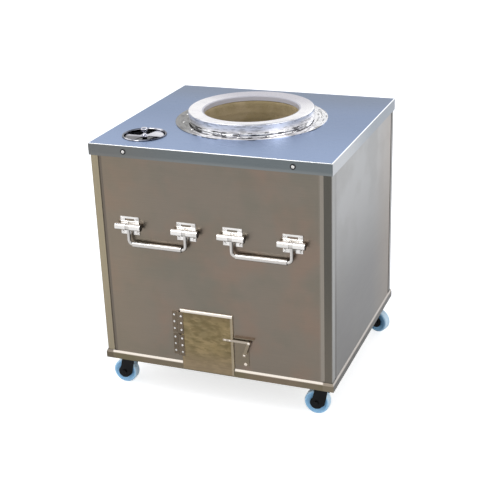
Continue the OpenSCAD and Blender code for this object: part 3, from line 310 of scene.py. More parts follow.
def polished_steel(
    name, colour, shade, roughness=0.09, waviness=0.25, centre=None, fades=(), streaks=None, matt=None
):
    """Polished stainless steel: mirror-like, with faint waves; spun pieces have fine rings about their centre.

    fades: (axis, start, end, colour, share) each make one side duller; the callers lay them as painted
    reflections
    and painted shade. streaks: (colour, share, upright share, least radius) lays painted dark bands round a
    spun piece, like the broken reflections in an uneven mirror; the upright share is how far they keep to its
    walls. matt: (radius, colour) makes a spun piece pale and matt inside that radius, which stands in for a
    bright reflection.
    """
    material, tree, place = new_finish(name)
    where = place.outputs["Object"]
    lines_at = where
    if centre:
        flat = add(tree, "VectorMath", {0: where, 1: (*centre, 0)}, operation="SUBTRACT")
        flat = add(tree, "VectorMath", {0: flat, 1: (1, 1, 0)}, operation="MULTIPLY")
        radius = add(tree, "VectorMath", {0: flat}, operation="LENGTH").outputs["Value"]
        lines_at = add(tree, "CombineXYZ", {0: radius})
    # Polishing lines are finer than a tenth of a millimetre; they are drawn 2 mm apart so that they show
    lines = add(tree, "TexNoise", {"Vector": lines_at, "Scale": 450.0, "Detail": 3.0, "Roughness": 0.6})
    waves = add(tree, "TexNoise", {"Vector": where, "Scale": 28.0, "Detail": 2.0})
    tone = shift_tone(tree, linear(colour), waves, 0.42, 0.7, shade, way="LINEAR")
    spot = add(tree, "SeparateXYZ", {0: where})
    for axis, start, end, dull, share in fades:
        tone = shift_tone(tree, tone, spot.outputs[axis], start, end, dull, share)
    if streaks:
        band, share, upright, least = streaks
        side = add(tree, "SeparateXYZ", {0: flat})
        turn = add(tree, "Math", {0: side.outputs["Y"], 1: side.outputs["X"]}, operation="ARCTAN2")
        # Bands are about 30 mm long and 5 mm tall
        wrap = add(tree, "CombineXYZ", {0: turn, 1: spot.outputs["Z"], 2: radius})
        wrap = add(tree, "Mapping", {"Vector": wrap, "Scale": (6.5, 180.0, 180.0)})
        bands = {"Vector": wrap, "Scale": 1.0, "Detail": 3.0, "Roughness": 0.6}
        bands = {"Value": add(tree, "TexNoise", bands), **span(0.5, 0.6, 0.0, share)}
        bands = add(tree, "MapRange", bands, interpolation_type="SMOOTHSTEP")
        tall = add(tree, "SeparateXYZ", {0: place.outputs["Normal"]}).outputs["Z"]
        tall = add(tree, "Math", {0: tall, 1: 2.0}, operation="POWER")
        kept = add(tree, "Math", {0: tall, 1: -upright, 2: 1.0}, operation="MULTIPLY_ADD")
        outer = add(tree, "Math", {0: radius, 1: least}, operation="GREATER_THAN")
        amount = add(tree, "Math", {0: bands, 1: kept}, operation="MULTIPLY")
        amount = add(tree, "Math", {0: amount, 1: outer}, operation="MULTIPLY")
        tone = add(tree, "Mix", {0: amount, 6: tone, 7: linear(band)}, data_type="RGBA").outputs[2]
    shine = add(tree, "MapRange", {"Value": lines, **span(0.3, 0.7, roughness * 0.6, roughness * 1.5)})
    soft = add(tree, "Bump", {"Strength": waviness, "Distance": 0.0012, "Height": waves})
    fine = add(tree, "Bump", {"Strength": 0.05, "Distance": 0.0003, "Height": lines, "Normal": soft})
    bare = 1.0
    if matt:
        edge, pale = matt
        bare = add(tree, "MapRange", {"Value": radius, **span(edge, edge + 0.002)})
        tone = add(tree, "Mix", {0: bare, 6: linear(pale), 7: tone}, data_type="RGBA").outputs[2]
    return close_finish(material, {"Base Color": tone, "Roughness": shine, "Normal": fine, "Metallic": bare})


def grainy(name, colours, sizes, roughness, bump, metallic=0.0, specular=0.5):
    """A surface with a fine grain over broad patches: clay, stone, wool, cast iron, lacquer and zinc.

    colours: main, patch and speck, as sRGB hex. sizes: grain and patch in millimetres. roughness: least and
    most. bump: how strongly the grain stands out.
    """
    material, tree, place = new_finish(name)
    main, patch, speck = colours
    where = place.outputs["Object"]
    grain = {"Vector": where, "Scale": 1000.0 / sizes[0], "Detail": 4.0, "Roughness": 0.6}
    patches = {"Vector": where, "Scale": 1000.0 / sizes[1], "Detail": 3.0, "Roughness": 0.55}
    fine, broad = add(tree, "TexNoise", grain), add(tree, "TexNoise", patches)
    tone = shift_tone(tree, linear(main), broad, 0.4, 0.65, patch)
    tone = shift_tone(tree, tone, fine, 0.56, 0.74, speck, 0.85, "LINEAR")
    shine = add(tree, "MapRange", {"Value": fine, **span(0.3, 0.7, *roughness)})
    rough = add(tree, "Bump", {"Strength": bump, "Distance": sizes[0] * MM * 0.4, "Height": fine})
    shader = {"Base Color": tone, "Roughness": shine, "Normal": rough, "Metallic": metallic}
    return close_finish(material, {**shader, "Specular IOR Level": specular})


def wheel_nylon(name, wheel):
    """Moulded blue polyamide wheel: a satin gloss, paler at the tread, a painted highlight, and a little darker
    in the dish, painted shade.
    """
    material, tree, place = new_finish(name)
    reach = add(tree, "Attribute", attribute_name="reach")
    scuffs = {"Vector": place.outputs["Object"], "Scale": 260.0, "Detail": 3.0, "Roughness": 0.6}
    scuffs = add(tree, "TexNoise", scuffs)
    # Stops by distance from the hub, as a share of the wheel's radius
    dish, body, tread = wheel.dish_colour, wheel.body_colour, wheel.tread_colour
    stops = [(0.30, dish), (0.70, body), (0.86, body), (1.0, tread)]
    sides = add(tree, "ValToRGB", {0: reach.outputs["Fac"]}, ramp=stops)
    worn = add(tree, "MapRange", {"Value": scuffs, **span(0.35, 0.7, 0.93, 1.06)})
    tone = add(tree, "VectorMath", {0: sides, "Scale": worn}, operation="SCALE")
    shine = add(tree, "MapRange", {"Value": scuffs, **span(0.3, 0.7, 0.28, 0.46)})
    bump = add(tree, "Bump", {"Strength": 0.08, "Distance": 0.0004, "Height": scuffs})
    return close_finish(material, {"Base Color": tone, "Roughness": shine, "Normal": bump, "IOR": 1.53})


# ---- sizes and colours that a user may change ----


class CabinetColours(bpy.types.PropertyGroup):
    """Tones of the cabinet's sheet steel, which paint in light and reflection: the cover's sky blue, lighter
    near its front edge, the front's brown, the right skirt's light tone, and the right side lighter at the top
    than by the floor.
    """

    cover: colour_property("Cover", "Top cover's face, which takes the sky's tone", "#7288ad")
    cover_light: colour_property("Cover, light part", "Top cover near its front edge", "#93a9cf")
    skirt: colour_property("Skirt", "Turned-down front edge of the cover", "#727879")
    panel: colour_property("Front panel", "Raised field of the front", "#857b6f")
    side_high: colour_property("Side, top", "Right side under the cover", "#bcbbb9")
    side_low: colour_property("Side, bottom", "Right side by the floor", "#868380")
    side_light: colour_property("Skirt, right", "Turned-down right edge of the cover", "#c9cacb")


class ClayPotSizes(bpy.types.PropertyGroup):
    """The fired clay pot."""

    wall: length_property("Wall", "Thickness of the pot's wall", 0.032, 0.06)
    lip_round: length_property("Lip round", "Radius on the lip's two edges", 0.006, 0.015)
    ridge_pitch: length_property("Ridge spacing", "Height between two coils of the throwing marks", 0.019, 0.06)
    ridge_depth: length_property("Ridge depth", "Depth of the throwing marks inside", 0.0016, 0.004)
    unevenness: length_property("Unevenness", "How far the inner wall wanders from a true round", 0.0018, 0.005)
    segments: IntProperty(name="Segments", description="Faces round the pot", default=168, min=24, max=400)

class FastenerSizes(bpy.types.PropertyGroup):
    """Screw and rivet heads."""

    recess_width: share_property(
        "Recess width", "Width of the cross slot as a share of the head's radius", 0.34, 0.1, 0.6
    )
    recess_length: share_property(
        "Recess length", "Length of the cross slot as a share of the head's diameter", 0.66, 0.3, 0.9
    )
    recess_depth: share_property(
        "Recess depth", "Depth of the cross slot as a share of the head's height", 0.55, 0.1, 0.9
    )
    seed: IntProperty(name="Seed", description="How the screws happen to be turned", default=7, min=0)


class CastorColours(bpy.types.PropertyGroup):
    """The castors' wheels; the tread's paler tone is a painted highlight and the dish's darker tone is painted
    shade.
    """

    body_colour: colour_property("Wheel", "Moulded wheel body", "#93c8f0")
    tread_colour: colour_property("Tread", "Worn running surface", "#cfe9fa")
    dish_colour: colour_property("Dish", "Recess round the hub", "#74aede")
    segments: IntProperty(name="Segments", description="Faces round a wheel", default=112, min=24, max=256)


class StageSettings(bpy.types.PropertyGroup):
    """Floor, sky, lamps and camera."""

    floor: colour_property("Floor", "Pale studio floor", "#f2f2f2")
    zenith: colour_property("Zenith", "Tone high above the object, seen in polished parts", "#8f9db2")
    lens: FloatProperty(
        name="Lens", description="Focal length on a 36 mm sensor", default=77.97, min=10, max=300, unit="CAMERA"
    )


class TandoorSettings(bpy.types.PropertyGroup):
    """All the sizes and colours of the oven."""

    cabinet: PointerProperty(name="Cabinet", description="Tones of the sheet steel", type=CabinetColours)
    pot: PointerProperty(name="Clay pot", description="Sizes of the clay pot", type=ClayPotSizes)
    fasteners: PointerProperty(name="Fasteners", description="Screw and rivet heads", type=FastenerSizes)
    castors: PointerProperty(name="Castors", description="Wheels", type=CastorColours)
    stage: PointerProperty(name="Stage", description="Floor, light and camera", type=StageSettings)


# ---- operators ----
# Each sheet's six tones by facing are painted light and reflection, and its glint is a painted highlight on
# bends.
# Tones of sheets are given for faces that look right, left, rear, front, up and down. Tones that a layer lays
# by position follow the reflections that the photograph shows from its own side; they don't move with the view.


class TANDOOR_OT_cabinet(bpy.types.Operator):
    """Gives the cabinet's sheets, posts and rails their brushed stainless finish"""

    bl_idname = "tandoor.cabinet"
    bl_label = "Cabinet sheets"

    def execute(self, context):
        look = settings().cabinet
        # Painted reflections on the cover: its top takes the sky's blue in clouds, lighter towards the front
        # edge and darker at the left and rear; the right skirt is darker towards the rear; the glint is a
        # painted highlight on the bends. The front skirt is lighter near its lower edge and warmer towards the
        # left.
        cover = brushed_sheet(
            "brushed_stainless_cover",
            (look.side_light, "#8f918f", "#8f9499", look.skirt, look.cover, "#55524c"),
            layers=[
                ("Up", "clouds", 1, "#6d86aa", 0.4),
                ("Up", "fade", "X", -0.12, -0.34, "#6883ab", 0.45),
                ("Up", "fade", "Y", 0.1, -0.35, look.cover_light, 0.7),
                ("Up", "fade", "Y", 0.08, 0.33, "#5f6e84", 0.65),
                ("Front", "fade", "Z", 0.757, 0.749, "#858887", 0.8),
                ("Front", "fade", "X", 0.0, -0.3, "#77746f", 0.6),
                ("Right", "fade", "Y", -0.25, 0.1, "#99a0a7", 0.9),
            ],
            roughness=0.3, glint=1.0, glint_colour="#ffffff",
        )
        # Painted reflection and shade on the front: its brown is a painted reflection with clouds of other
        # tones, painted lighter and warmer towards the left; the bevels beside the posts are painted dark at
        # the left and light at the right.
        front = brushed_sheet(
            "brushed_stainless_front",
            ("#c6c0b6", "#564f46", "#8f8b84", look.panel, "#f0e6dc", "#4f4a42"),
            layers=[
                ("Front", "clouds", 0, "#8f7a6b", 0.6),
                ("Front", "clouds", 2, "#7a766a", 0.55),
                ("Front", "fade", "X", -0.1, -0.31, "#93836f", 0.35),
                ("Front", "fade", "X", -0.3175, -0.3195, "#766c61", 1.0),
                ("Front", "fade", "X", 0.3175, 0.3195, "#928a7f", 1.0),
            ],
        )
        # The right side is painted lighter towards its top and darker by the floor, painted light and
        # reflection, and warmer towards the rear.
        right = brushed_sheet(
            "brushed_stainless_right",
            (look.side_low, "#77736d", "#8a867f", "#55524d", "#d8d6d2", "#4f4a42"),
            "Y",
            [
                ("Right", "fade", "Z", 0.3, 0.74, look.side_high, 0.95),
                ("Right", "clouds", 1, "#8e8a84", 0.3),
                ("Right", "fade", "Y", 0.05, 0.33, "#b3987a", 0.3),
            ],
        )
        # The left side is painted lighter towards its top, painted light.
        left = brushed_sheet(
            "brushed_stainless_left",
            ("#77736d", "#8f8b84", "#8a867f", "#6f6a61", "#d8d6d2", "#4f4a42"),
            "Y",
            [("Left", "fade", "Z", 0.25, 0.76, "#b3b1ad", 0.7), ("Left", "clouds", 1, "#8a857d", 0.4)],
        )
        rear = brushed_sheet(
            "brushed_stainless_rear",
            ("#77736d", "#77736d", "#8d877e", "#6f6a61", "#d8d6d2", "#4f4a42"),
            layers=[("Rear", "clouds", 0, "#8f8377", 0.5), ("Rear", "clouds", 2, "#80806f", 0.5)],
        )
        # The right post is painted darker than the left, and the posts darker towards the bottom, as painted
        # reflection.
        posts = brushed_sheet(
            "brushed_stainless_posts",
            ("#a9a7a3", "#8f8a80", "#8a857c", "#a4987f", "#d8d6d2", "#4f4a42"),
            "Z",
            [
                ("Front", "fade", "X", 0.0, 0.3, "#5e5b54", 1.0),
                ("Front", "fade", "Z", 0.5, 0.12, "#8a7f70", 0.35),
            ],
        )
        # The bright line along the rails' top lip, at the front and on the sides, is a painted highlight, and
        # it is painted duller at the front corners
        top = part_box("base_frame")[1].z
        rails = brushed_sheet(
            "brushed_stainless_rails",
            ("#6a6660", "#7f7a70", "#7f7a70", "#7c715f", "#cfc2b6", "#3d3a2c"),
            layers=[
                ("Front", "clouds", 1, "#6f6a4a", 0.4),
                ("Front", "clouds", 3, "#8a7768", 0.4),
                ("Front", "fade", "Z", top - 0.0075, top - 0.0055, "#fff6ea", 1.0),
                ("Front", "fade", "X", -0.331, -0.336, "#6e6454", 1.0),
                ("Front", "fade", "X", 0.322, 0.327, "#857a68", 1.0),
                ("Right", "fade", "Z", top - 0.0075, top - 0.0055, "#c9c3bb", 1.0),
            ],
            glint=0.25, glint_colour="#fff0e4",
        )
        duct = brushed_sheet(
            "mill_finish_duct_sheet",
            ("#8d8a86", "#8d8a86", "#8d8a86", "#8d8a86", "#a9a7a3", "#6a6762"),
            "Z",
            [("Front", "clouds", 1, "#6f6558", 0.5)],
            roughness=0.42,
        )
        finish_nodes(cover, "top_cover")
        finish_nodes(front, "front_panel")
        finish_nodes(right, "right_panel")
        finish_nodes(left, "left_panel")
        finish_nodes(rear, "rear_panel")
        finish_nodes(posts, "corner_posts", "top_frame")
        finish_nodes(rails, "base_frame", "base_plate")
        finish_nodes(duct, "vent_duct", "ash_chute")
        return {"FINISHED"}


class TANDOOR_OT_collar_and_vent(bpy.types.Operator):
    """Polishes the mouth's ring and flange and the ash vent's cup, wings and knob"""

    bl_idname = "tandoor.collar_and_vent"
    bl_label = "Mouth collar and vent"

    def execute(self, context):
        middle = middle_of("mouth_ring")[:2]
        # Painted reflections on the collar: the ring is painted duller towards the back, with dark bands on its
        # walls, and its inner lip is pale and matt, a painted bright reflection; the flange is painted darker
        # towards the left, with dark bands.
        spun = polished_steel(
            "spun_polished_steel",
            "#fcfafb",
            "#f1eff2",
            roughness=0.3, waviness=0.3, centre=middle,
            fades=[("Y", 0.02, 0.16, "#c9c6ce", 0.9)],
            streaks=("#7c7973", 0.45, 1.0, 0.17),
            matt=(0.1445, "#c4c2ca"),
        )
        mirror = polished_steel(
            "mirror_polished_steel",
            "#f6f6f8",
            "#dcdce2",
            roughness=0.06, waviness=0.5, centre=middle,
            fades=[("X", -0.04, -0.16, "#5d5c58", 0.9)],
            streaks=("#232223", 0.9, 0.2, 0.17),
        )
        finish_nodes(spun, "mouth_ring")
        finish_nodes(mirror, "mouth_flange")
        x, y = middle_of("vent_cup")[:2]
        # The rim's two ends are painted dark reflections, and the cup's floor, under the wings, is painted
        # shade
        dark = [
            ("X", x + 0.026, x + 0.042, "#3d4256", 0.9),
            ("X", x - 0.030, x - 0.044, "#39404f", 0.85),
            ("Z", 0.7765, 0.772, "#16161c", 0.97),
        ]
        vent = polished_steel("spun_polished_vent_steel", "#dcdce4", "#a9a9b6", 0.1, 0.3, (x, y), dark)
        # The wings are painted dark from the stud to the front, a painted reflection
        dark = [("Y", y, y - 0.02, "#2a2a36", 0.92)]
        wings = polished_steel("polished_vent_wing_steel", "#e8e8ee", "#b4b4c0", 0.1, 0.3, (x, y), dark)
        finish_nodes(vent, "vent_cup", "vent_pivot", "vent_knob")
        finish_nodes(wings, "vent_shutter")
        return {"FINISHED"}


class TANDOOR_OT_door_and_latch(bpy.types.Operator):
    """Gives the ash door its brown face, a painted reflection, and its hinges and latch their satin steel"""

    bl_idname = "tandoor.door_and_latch"
    bl_label = "Ash door and latch"

    def execute(self, context):
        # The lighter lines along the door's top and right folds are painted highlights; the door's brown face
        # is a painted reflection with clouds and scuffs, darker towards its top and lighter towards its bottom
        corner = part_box("ash_door")[1]
        door = brushed_sheet(
            "brushed_stainless_door",
            ("#b5a68c", "#4f4838", "#6f684f", "#8a7b5b", "#fff4e8", "#3a3424"),
            layers=[
                ("Front", "clouds", 4, "#9f8a62", 0.6),
                ("Front", "clouds", 5, "#6d6042", 0.6),
                ("Front", "streaks", 6, "#ab9670", 0.5),
                ("Front", "streaks", 9, "#66593c", 0.5),
                ("Front", "fade", "Z", 0.27, 0.30, "#6e5e46", 0.6),
                ("Front", "fade", "Z", 0.2, 0.12, "#9a8870", 0.7),
                ("Front", "fade", "X", corner.x - 0.0085, corner.x - 0.006, "#ab9e88", 0.75),
                ("Front", "fade", "Z", corner.z - 0.0095, corner.z - 0.007, "#efe6da", 0.9),
            ],
            roughness=0.4, glint=1.0, line_share=0.16,
        )
        # The fittings' tones by facing are painted light and reflection; the hook is painted light on its left
        # face and dark on its right.
        satin = brushed_sheet(
            "satin_steel_fittings",
            ("#a89e90", "#4f473c", "#8a8274", "#776a5a", "#fff4ea", "#4a4236"),
            "Z",
            [("Front", "clouds", 2, "#665b4e", 0.7)],
            roughness=0.28, glint=1.0,
        )
        strap = brushed_sheet(
            "bright_steel_strap",
            ("#b8ad9f", "#efe4d6", "#a39c90", "#b9ad9d", "#fffaf4", "#6a6254"),
            roughness=0.24, glint=1.0,
        )
        backing = brushed_sheet(
            "satin_steel_backing",
            ("#b6aea2", "#6a6458", "#6a6458", "#867a68", "#c9bcae", "#5a5244"),
            layers=[("Front", "clouds", 1, "#7e7465", 0.6)],
            roughness=0.32, glint=0.8,
        )
        hook = brushed_sheet(
            "satin_steel_hook",
            ("#6f6659", "#e9ddcd", "#a39c90", "#938673", "#fff4ea", "#5a5244"),
            "Z",
            roughness=0.28, glint=1.0,
        )
        domes = polished_steel("polished_rivet_steel", "#f6ece0", "#e0d4c6", 0.2, 0.0)
        finish_nodes(door, "ash_door")
        finish_nodes(satin, "hinge_leaves_fixed", "hinge_leaves_door", "hinge_pins")
        finish_nodes(strap, "latch_strap")
        finish_nodes(hook, "latch_hook")
        finish_nodes(domes, "strap_rivets", "latch_rivets")
        finish_nodes(backing, "latch_plate")
        return {"FINISHED"}


class TANDOOR_OT_handles(bpy.types.Operator):
    """Polishes the four bail handles and their brackets"""

    bl_idname = "tandoor.handles"
    bl_label = "Bail handles"

    def execute(self, context):
        # The rod's and brackets' tones by facing are painted reflections: white where they look left and up,
        # near black where they look right
        bracket = brushed_sheet(
            "buffed_stainless_brackets",
            ("#3a3836", "#e6e2dc", "#e6e2dc", "#f3efea", "#ffffff", "#8a867f"),
            layers=[("Front", "clouds", 6, "#d6d2cc", 0.8)],
            roughness=0.2,
        )
        rod = brushed_sheet(
            "buffed_stainless_rod",
            ("#262422", "#ffffff", "#c4c0ba", "#d2cdc7", "#ffffff", "#5f5b55"),
            roughness=0.18,
        )
        finish_nodes(bracket, "handle_brackets", "handle_pins")
        for corner in CORNERS:
            finish_nodes(rod, "bail_" + corner, "grip_" + corner)
        return {"FINISHED"}


class TANDOOR_OT_clay_pot(bpy.types.Operator):
    """Throws the fired clay pot: a thick wall with coil marks, a rounded lip and the ash opening"""

    bl_idname = "tandoor.clay_pot"
    bl_label = "Clay pot"

    def execute(self, context):
        pot = settings().pot
        lowest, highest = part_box("clay_pot")
        middle = (lowest + highest) / 2
        foot, tall = lowest.z, highest.z - lowest.z
        # The inside wall swells from the foot to the belly and narrows to the mouth, as in the CAD node
        foot_radius, belly_height, mouth_radius = 0.215, 0.210, 0.141
        belly = (highest.x - lowest.x) / 2 - pot.wall
        # The outer wall stands this much inside the CAD node's
        set_back = 0.0002
        opening_width, opening_depth, opening_foot, opening_back = 0.112, 0.235, 0.158, 0.064

        def inner_radius(h):
            if h < belly_height:
                return foot_radius + (belly - foot_radius) * math.sin(math.pi / 2 * h / belly_height)
            rise = math.pi * (h - belly_height) / (tall - belly_height)
            return mouth_radius + (belly - mouth_radius) * (1 + math.cos(rise)) / 2

        # Ridges and unevenness fade out near the lip and the foot
        def fade(h, lip_reach, foot_reach=0.02):
            return min(1.0, max(0.0, (tall - h) / lip_reach)) * min(1.0, h / foot_reach)

        steps, rounded = 96, pot.lip_round
        inner, outer = [], []
        for h in (tall * i / steps for i in range(steps + 1)):
            if h >= tall - rounded - MM:
                break
            wave = 0.5 - 0.5 * math.cos(2 * math.pi * h / pot.ridge_pitch)
            ridge = pot.ridge_depth * fade(h, 0.03) * wave
            inner.append((inner_radius(h) + ridge, h))
            outer.append((inner_radius(h) + pot.wall - set_back, h))
        quarter = [0, math.pi / 6, math.pi / 3, math.pi / 2]
        edges = ((mouth_radius, 1, quarter[::-1]), (mouth_radius + pot.wall - set_back, -1, quarter))
        top = [
            (r + sign * rounded * (1 - math.sin(a)), tall - rounded * (1 - math.cos(a)))
            for r, sign, angles in edges
            for a in angles
        ]
        mesh = lathe(inner + top + outer[::-1], pot.segments, "thrown_clay_pot")
        for vert in mesh.vertices:
            r = math.hypot(vert.co.x, vert.co.y)
            h = vert.co.z
            if r > inner_radius(min(h, tall)) + pot.wall / 2 or r < 1e-6:
                continue
            bump = 0.5 + 0.5 * noise.noise(vert.co * 14 + Vector((5, 2, 9)))
            wander = bump * pot.unevenness * fade(h, 0.02)
            vert.co.x *= (r + wander) / r
            vert.co.y *= (r + wander) / r
        mesh.transform(Matrix.Translation((middle.x, middle.y, foot)))
        raw = put("raw_pot", mesh)
        cutter = bmesh.new()
        bmesh.ops.create_cube(cutter, size=1.0)
        cutter.transform(Matrix.Diagonal((opening_width, opening_depth, opening_width, 1)))
        opening_y = middle.y - opening_back - opening_depth / 2
        opening_z = opening_foot + opening_width / 2
        cutter.transform(Matrix.Translation((middle_of("ash_chute").x, opening_y, opening_z)))
        box = bpy.data.meshes.new("ash_opening")
        cutter.to_mesh(box)
        cutter.free()
        tool = put("ash_opening", box)
        cut = raw.modifiers.new("ash_opening", "BOOLEAN")
        cut.operation, cut.solver, cut.object = "DIFFERENCE", "EXACT", tool
        result = applied(raw)
        for spare in (raw, tool):
            bpy.data.objects.remove(spare)
        tones = ("#c0ae8c", "#ab9a76", "#8d7a58")
        clay = grainy("fired_clay", tones, (3.0, 60.0), (0.8, 0.95), 0.5, specular=0.3)
        result.name = "clay_pot_thrown"
        piece("clay_pot_thrown", result, "cabinet", clay, "clay_pot")
        return {"FINISHED"}


class TANDOOR_OT_hearth(bpy.types.Operator):
    """Gives the slab, wool lining and charcoal grate their finishes"""

    bl_idname = "tandoor.hearth"
    bl_label = "Hearth, lining and grate"

    def execute(self, context):
        slab = ("#b8a98c", "#a3947a", "#8a7c64")
        wool = ("#c9bd94", "#b5a87c", "#e0d6b4")
        iron = ("#35322f", "#4a4641", "#6a655e")
        finish_nodes(grainy("refractory_slab", slab, (4.0, 70.0), (0.85, 0.97), 0.4), "hearth_slab")
        finish_nodes(grainy("mineral_wool", wool, (3.0, 40.0), (0.9, 1.0), 0.9, specular=0.1), "insulation")
        finish_nodes(grainy("sand_cast_iron", iron, (2.5, 45.0), (0.55, 0.8), 0.5, 0.6), "charcoal_grate")
        return {"FINISHED"}


class TANDOOR_OT_castors(bpy.types.Operator):
    """Turns the four moulded castor wheels and gives forks, plates, bolts and axles their finishes"""

    bl_idname = "tandoor.castors"
    bl_label = "Castors"

    def execute(self, context):
        look = settings().castors
        nylon = wheel_nylon("moulded_blue_polyamide", look)
        # The hub's and the rim's inner radius, the dish's depth and the tread's rounded edge
        radius, half, hub, rim, dish, edge = 0.0375, 0.013, 0.011, 0.027, 0.003, 0.0042
        # Small bevels of the hub and of the rim
        small, bevel = 0.0008, 0.001
        floor = -half + dish
        spins = {j["child"]: j for j in frame["joints"]}
        for corner in CORNERS:
            middle = middle_of("wheel_" + corner)
            axis = Vector(spins["castor_wheel_" + corner]["axis"]).normalized()
            cad = frame["nodes"]["wheel_" + corner].data
            reach = [(Vector(v.co) - middle) for v in cad.vertices]
            along = [r.dot(axis) for r in reach]
            hub_half = max(abs(a) for a in along)
            bore = min((r - axis * a).length for r, a in zip(reach, along))
            # One side of the profile from the bore out to the tread, then mirrored
            side = [(bore, -hub_half), (hub - small, -hub_half), (hub, -hub_half + small)]
            side += [(hub, floor + bevel), (hub + bevel, floor), (rim - bevel, floor), (rim, floor - small)]
            side += [(rim + 0.0022, -half + 0.0006), (rim + 0.003, -half)]
            for turn in (step * math.pi / 12 for step in range(6)):
                side.append((radius - edge + edge * math.sin(turn), -half + edge - edge * math.cos(turn)))
            # The tread is slightly crowned, with a fine mould line round its middle
            side += [(radius - 0.00045, -half + edge + 0.0006), (radius - 0.00012, -half + 0.0075)]
            side += [(radius, -0.0006), (radius - 0.0004, -0.0002)]
            mesh = lathe(side + [(r, -z) for r, z in side[::-1]], look.segments, "moulded_wheel_" + corner)
            ratio = mesh.attributes.new("reach", "FLOAT", "POINT")
            ratio.data.foreach_set("value", [math.hypot(v.co.x, v.co.y) / radius for v in mesh.vertices])
            mesh.transform(Matrix.Translation(middle) @ axis.to_track_quat("Z", "Y").to_matrix().to_4x4())
            body, node = "castor_wheel_" + corner, "wheel_" + corner
            piece("moulded_" + node, mesh, body, nylon, node)
        black = ("#0d0d0f", "#121215", "#19191c")
        grey = ("#a8abb0", "#8f9297", "#c4c6ca")
        dark = ("#1c1c1c", "#232323", "#2c2c2c")
        lacquer = grainy("black_e_coated_steel", black, (1.5, 30.0), (0.3, 0.42), 0.12, specular=0.15)
        zinc = grainy("bright_zinc_plating", grey, (2.5, 22.0), (0.28, 0.42), 0.08, 1.0)
        rubber = grainy("epdm_washer_rubber", dark, (1.2, 15.0), (0.6, 0.75), 0.2)
        finish_nodes(zinc, "castor_plates", "castor_bolts")
        finish_nodes(rubber, "cover_washers")
        for corner in CORNERS:
            finish_nodes(lacquer, "fork_" + corner, "axle_" + corner)
        return {"FINISHED"}


def fastener_tree():
    """Geometry Nodes: a domed head with or without a cross recess, and its shank, on each point."""
    if "Fastener heads" in bpy.data.node_groups:
        return bpy.data.node_groups["Fastener heads"]
    tree = bpy.data.node_groups.new("Fastener heads", "GeometryNodeTree")
    sizes = ["Head Radius", "Head Height", "Shank Radius", "Shank Length"]
    sizes += ["Slot Width", "Slot Length", "Slot Depth"]
    sockets = [("Points", "Geometry")] + [(name, "Float") for name in sizes]
    sockets += [("Recessed", "Bool"), ("Seed", "Int"), ("Finish", "Material")]
    for name, kind in sockets:
        tree.interface.new_socket(name, in_out="INPUT", socket_type="NodeSocket" + kind)
    tree.interface.new_socket("Heads", in_out="OUTPUT", socket_type="NodeSocketGeometry")
    given = add(tree, "NodeGroupInput").outputs
    ball = add(tree, "GeometryNodeMeshUVSphere", {"Segments": 20, "Rings": 12, "Radius": 1.0})
    size = add(tree, "CombineXYZ", {0: given["Head Radius"], 1: given["Head Radius"], 2: given["Head Height"]})
    dome = add(tree, "GeometryNodeTransform", {"Geometry": ball, "Scale": size})
    spot = add(tree, "SeparateXYZ", {0: add(tree, "GeometryNodeInputPosition")})
    level = add(tree, "Math", {0: spot.outputs["Z"], 1: 0.0}, operation="MAXIMUM")
    flat = add(tree, "CombineXYZ", {0: spot.outputs["X"], 1: spot.outputs["Y"], 2: level})
    head = add(tree, "GeometryNodeSetPosition", {"Geometry": dome, "Position": flat})
    arms = []
    # One arm of the cross is cut a little deeper, so that the two floors don't lie in one plane
    for along, across, depths in ((0, 1, 2.0), (1, 0, 2.1)):
        deep = add(tree, "Math", {0: given["Slot Depth"], 1: depths}, operation="MULTIPLY")
        size = {along: given["Slot Length"], across: given["Slot Width"], 2: deep}
        bar = add(tree, "GeometryNodeMeshCube", {"Size": add(tree, "CombineXYZ", size)})
        lift = add(tree, "CombineXYZ", {2: given["Head Height"]})
        arms.append(add(tree, "GeometryNodeTransform", {"Geometry": bar, "Translation": lift}))
    cut = add(tree, "GeometryNodeMeshBoolean", {"Mesh 1": head}, operation="DIFFERENCE")
    for arm in arms:
        tree.links.new(arm.outputs[0], cut.inputs["Mesh 2"])
    chosen = {"Switch": given["Recessed"], "False": head, "True": cut}
    chosen = add(tree, "GeometryNodeSwitch", chosen, input_type="GEOMETRY")
    shank = {"Vertices": 16, "Radius": given["Shank Radius"], "Depth": given["Shank Length"]}
    shank = add(tree, "GeometryNodeMeshCylinder", shank)
    down = add(tree, "Math", {0: given["Shank Length"], 1: -0.5}, operation="MULTIPLY")
    below = add(tree, "CombineXYZ", {2: down})
    shank = add(tree, "GeometryNodeTransform", {"Geometry": shank, "Translation": below})
    whole = add(tree, "GeometryNodeJoinGeometry", {0: chosen})
    tree.links.new(shank.outputs[0], whole.inputs[0])
    facing = add(tree, "GeometryNodeInputNamedAttribute", {"Name": "facing"}, data_type="FLOAT_VECTOR")
    aim = add(tree, "FunctionNodeAlignRotationToVector", {"Vector": facing}, axis="Z")
    spin = {2: 0.0, 3: math.pi / 2, "Seed": given["Seed"]}
    spin = add(tree, "FunctionNodeRandomValue", spin, data_type="FLOAT").outputs[1]
    turned = add(tree, "FunctionNodeEulerToRotation", {0: add(tree, "CombineXYZ", {2: spin})})
    pose = {"Rotation": aim, "Rotate By": turned}
    pose = add(tree, "FunctionNodeRotateRotation", pose, rotation_space="LOCAL")
    set_out = {"Points": given["Points"], "Instance": whole, "Rotation": pose}
    set_out = add(tree, "GeometryNodeInstanceOnPoints", set_out)
    real = add(tree, "GeometryNodeRealizeInstances", {0: set_out})
    painted = add(tree, "GeometryNodeSetMaterial", {"Geometry": real, "Material": given["Finish"]})
    add(tree, "NodeGroupOutput", {0: painted})
    return tree


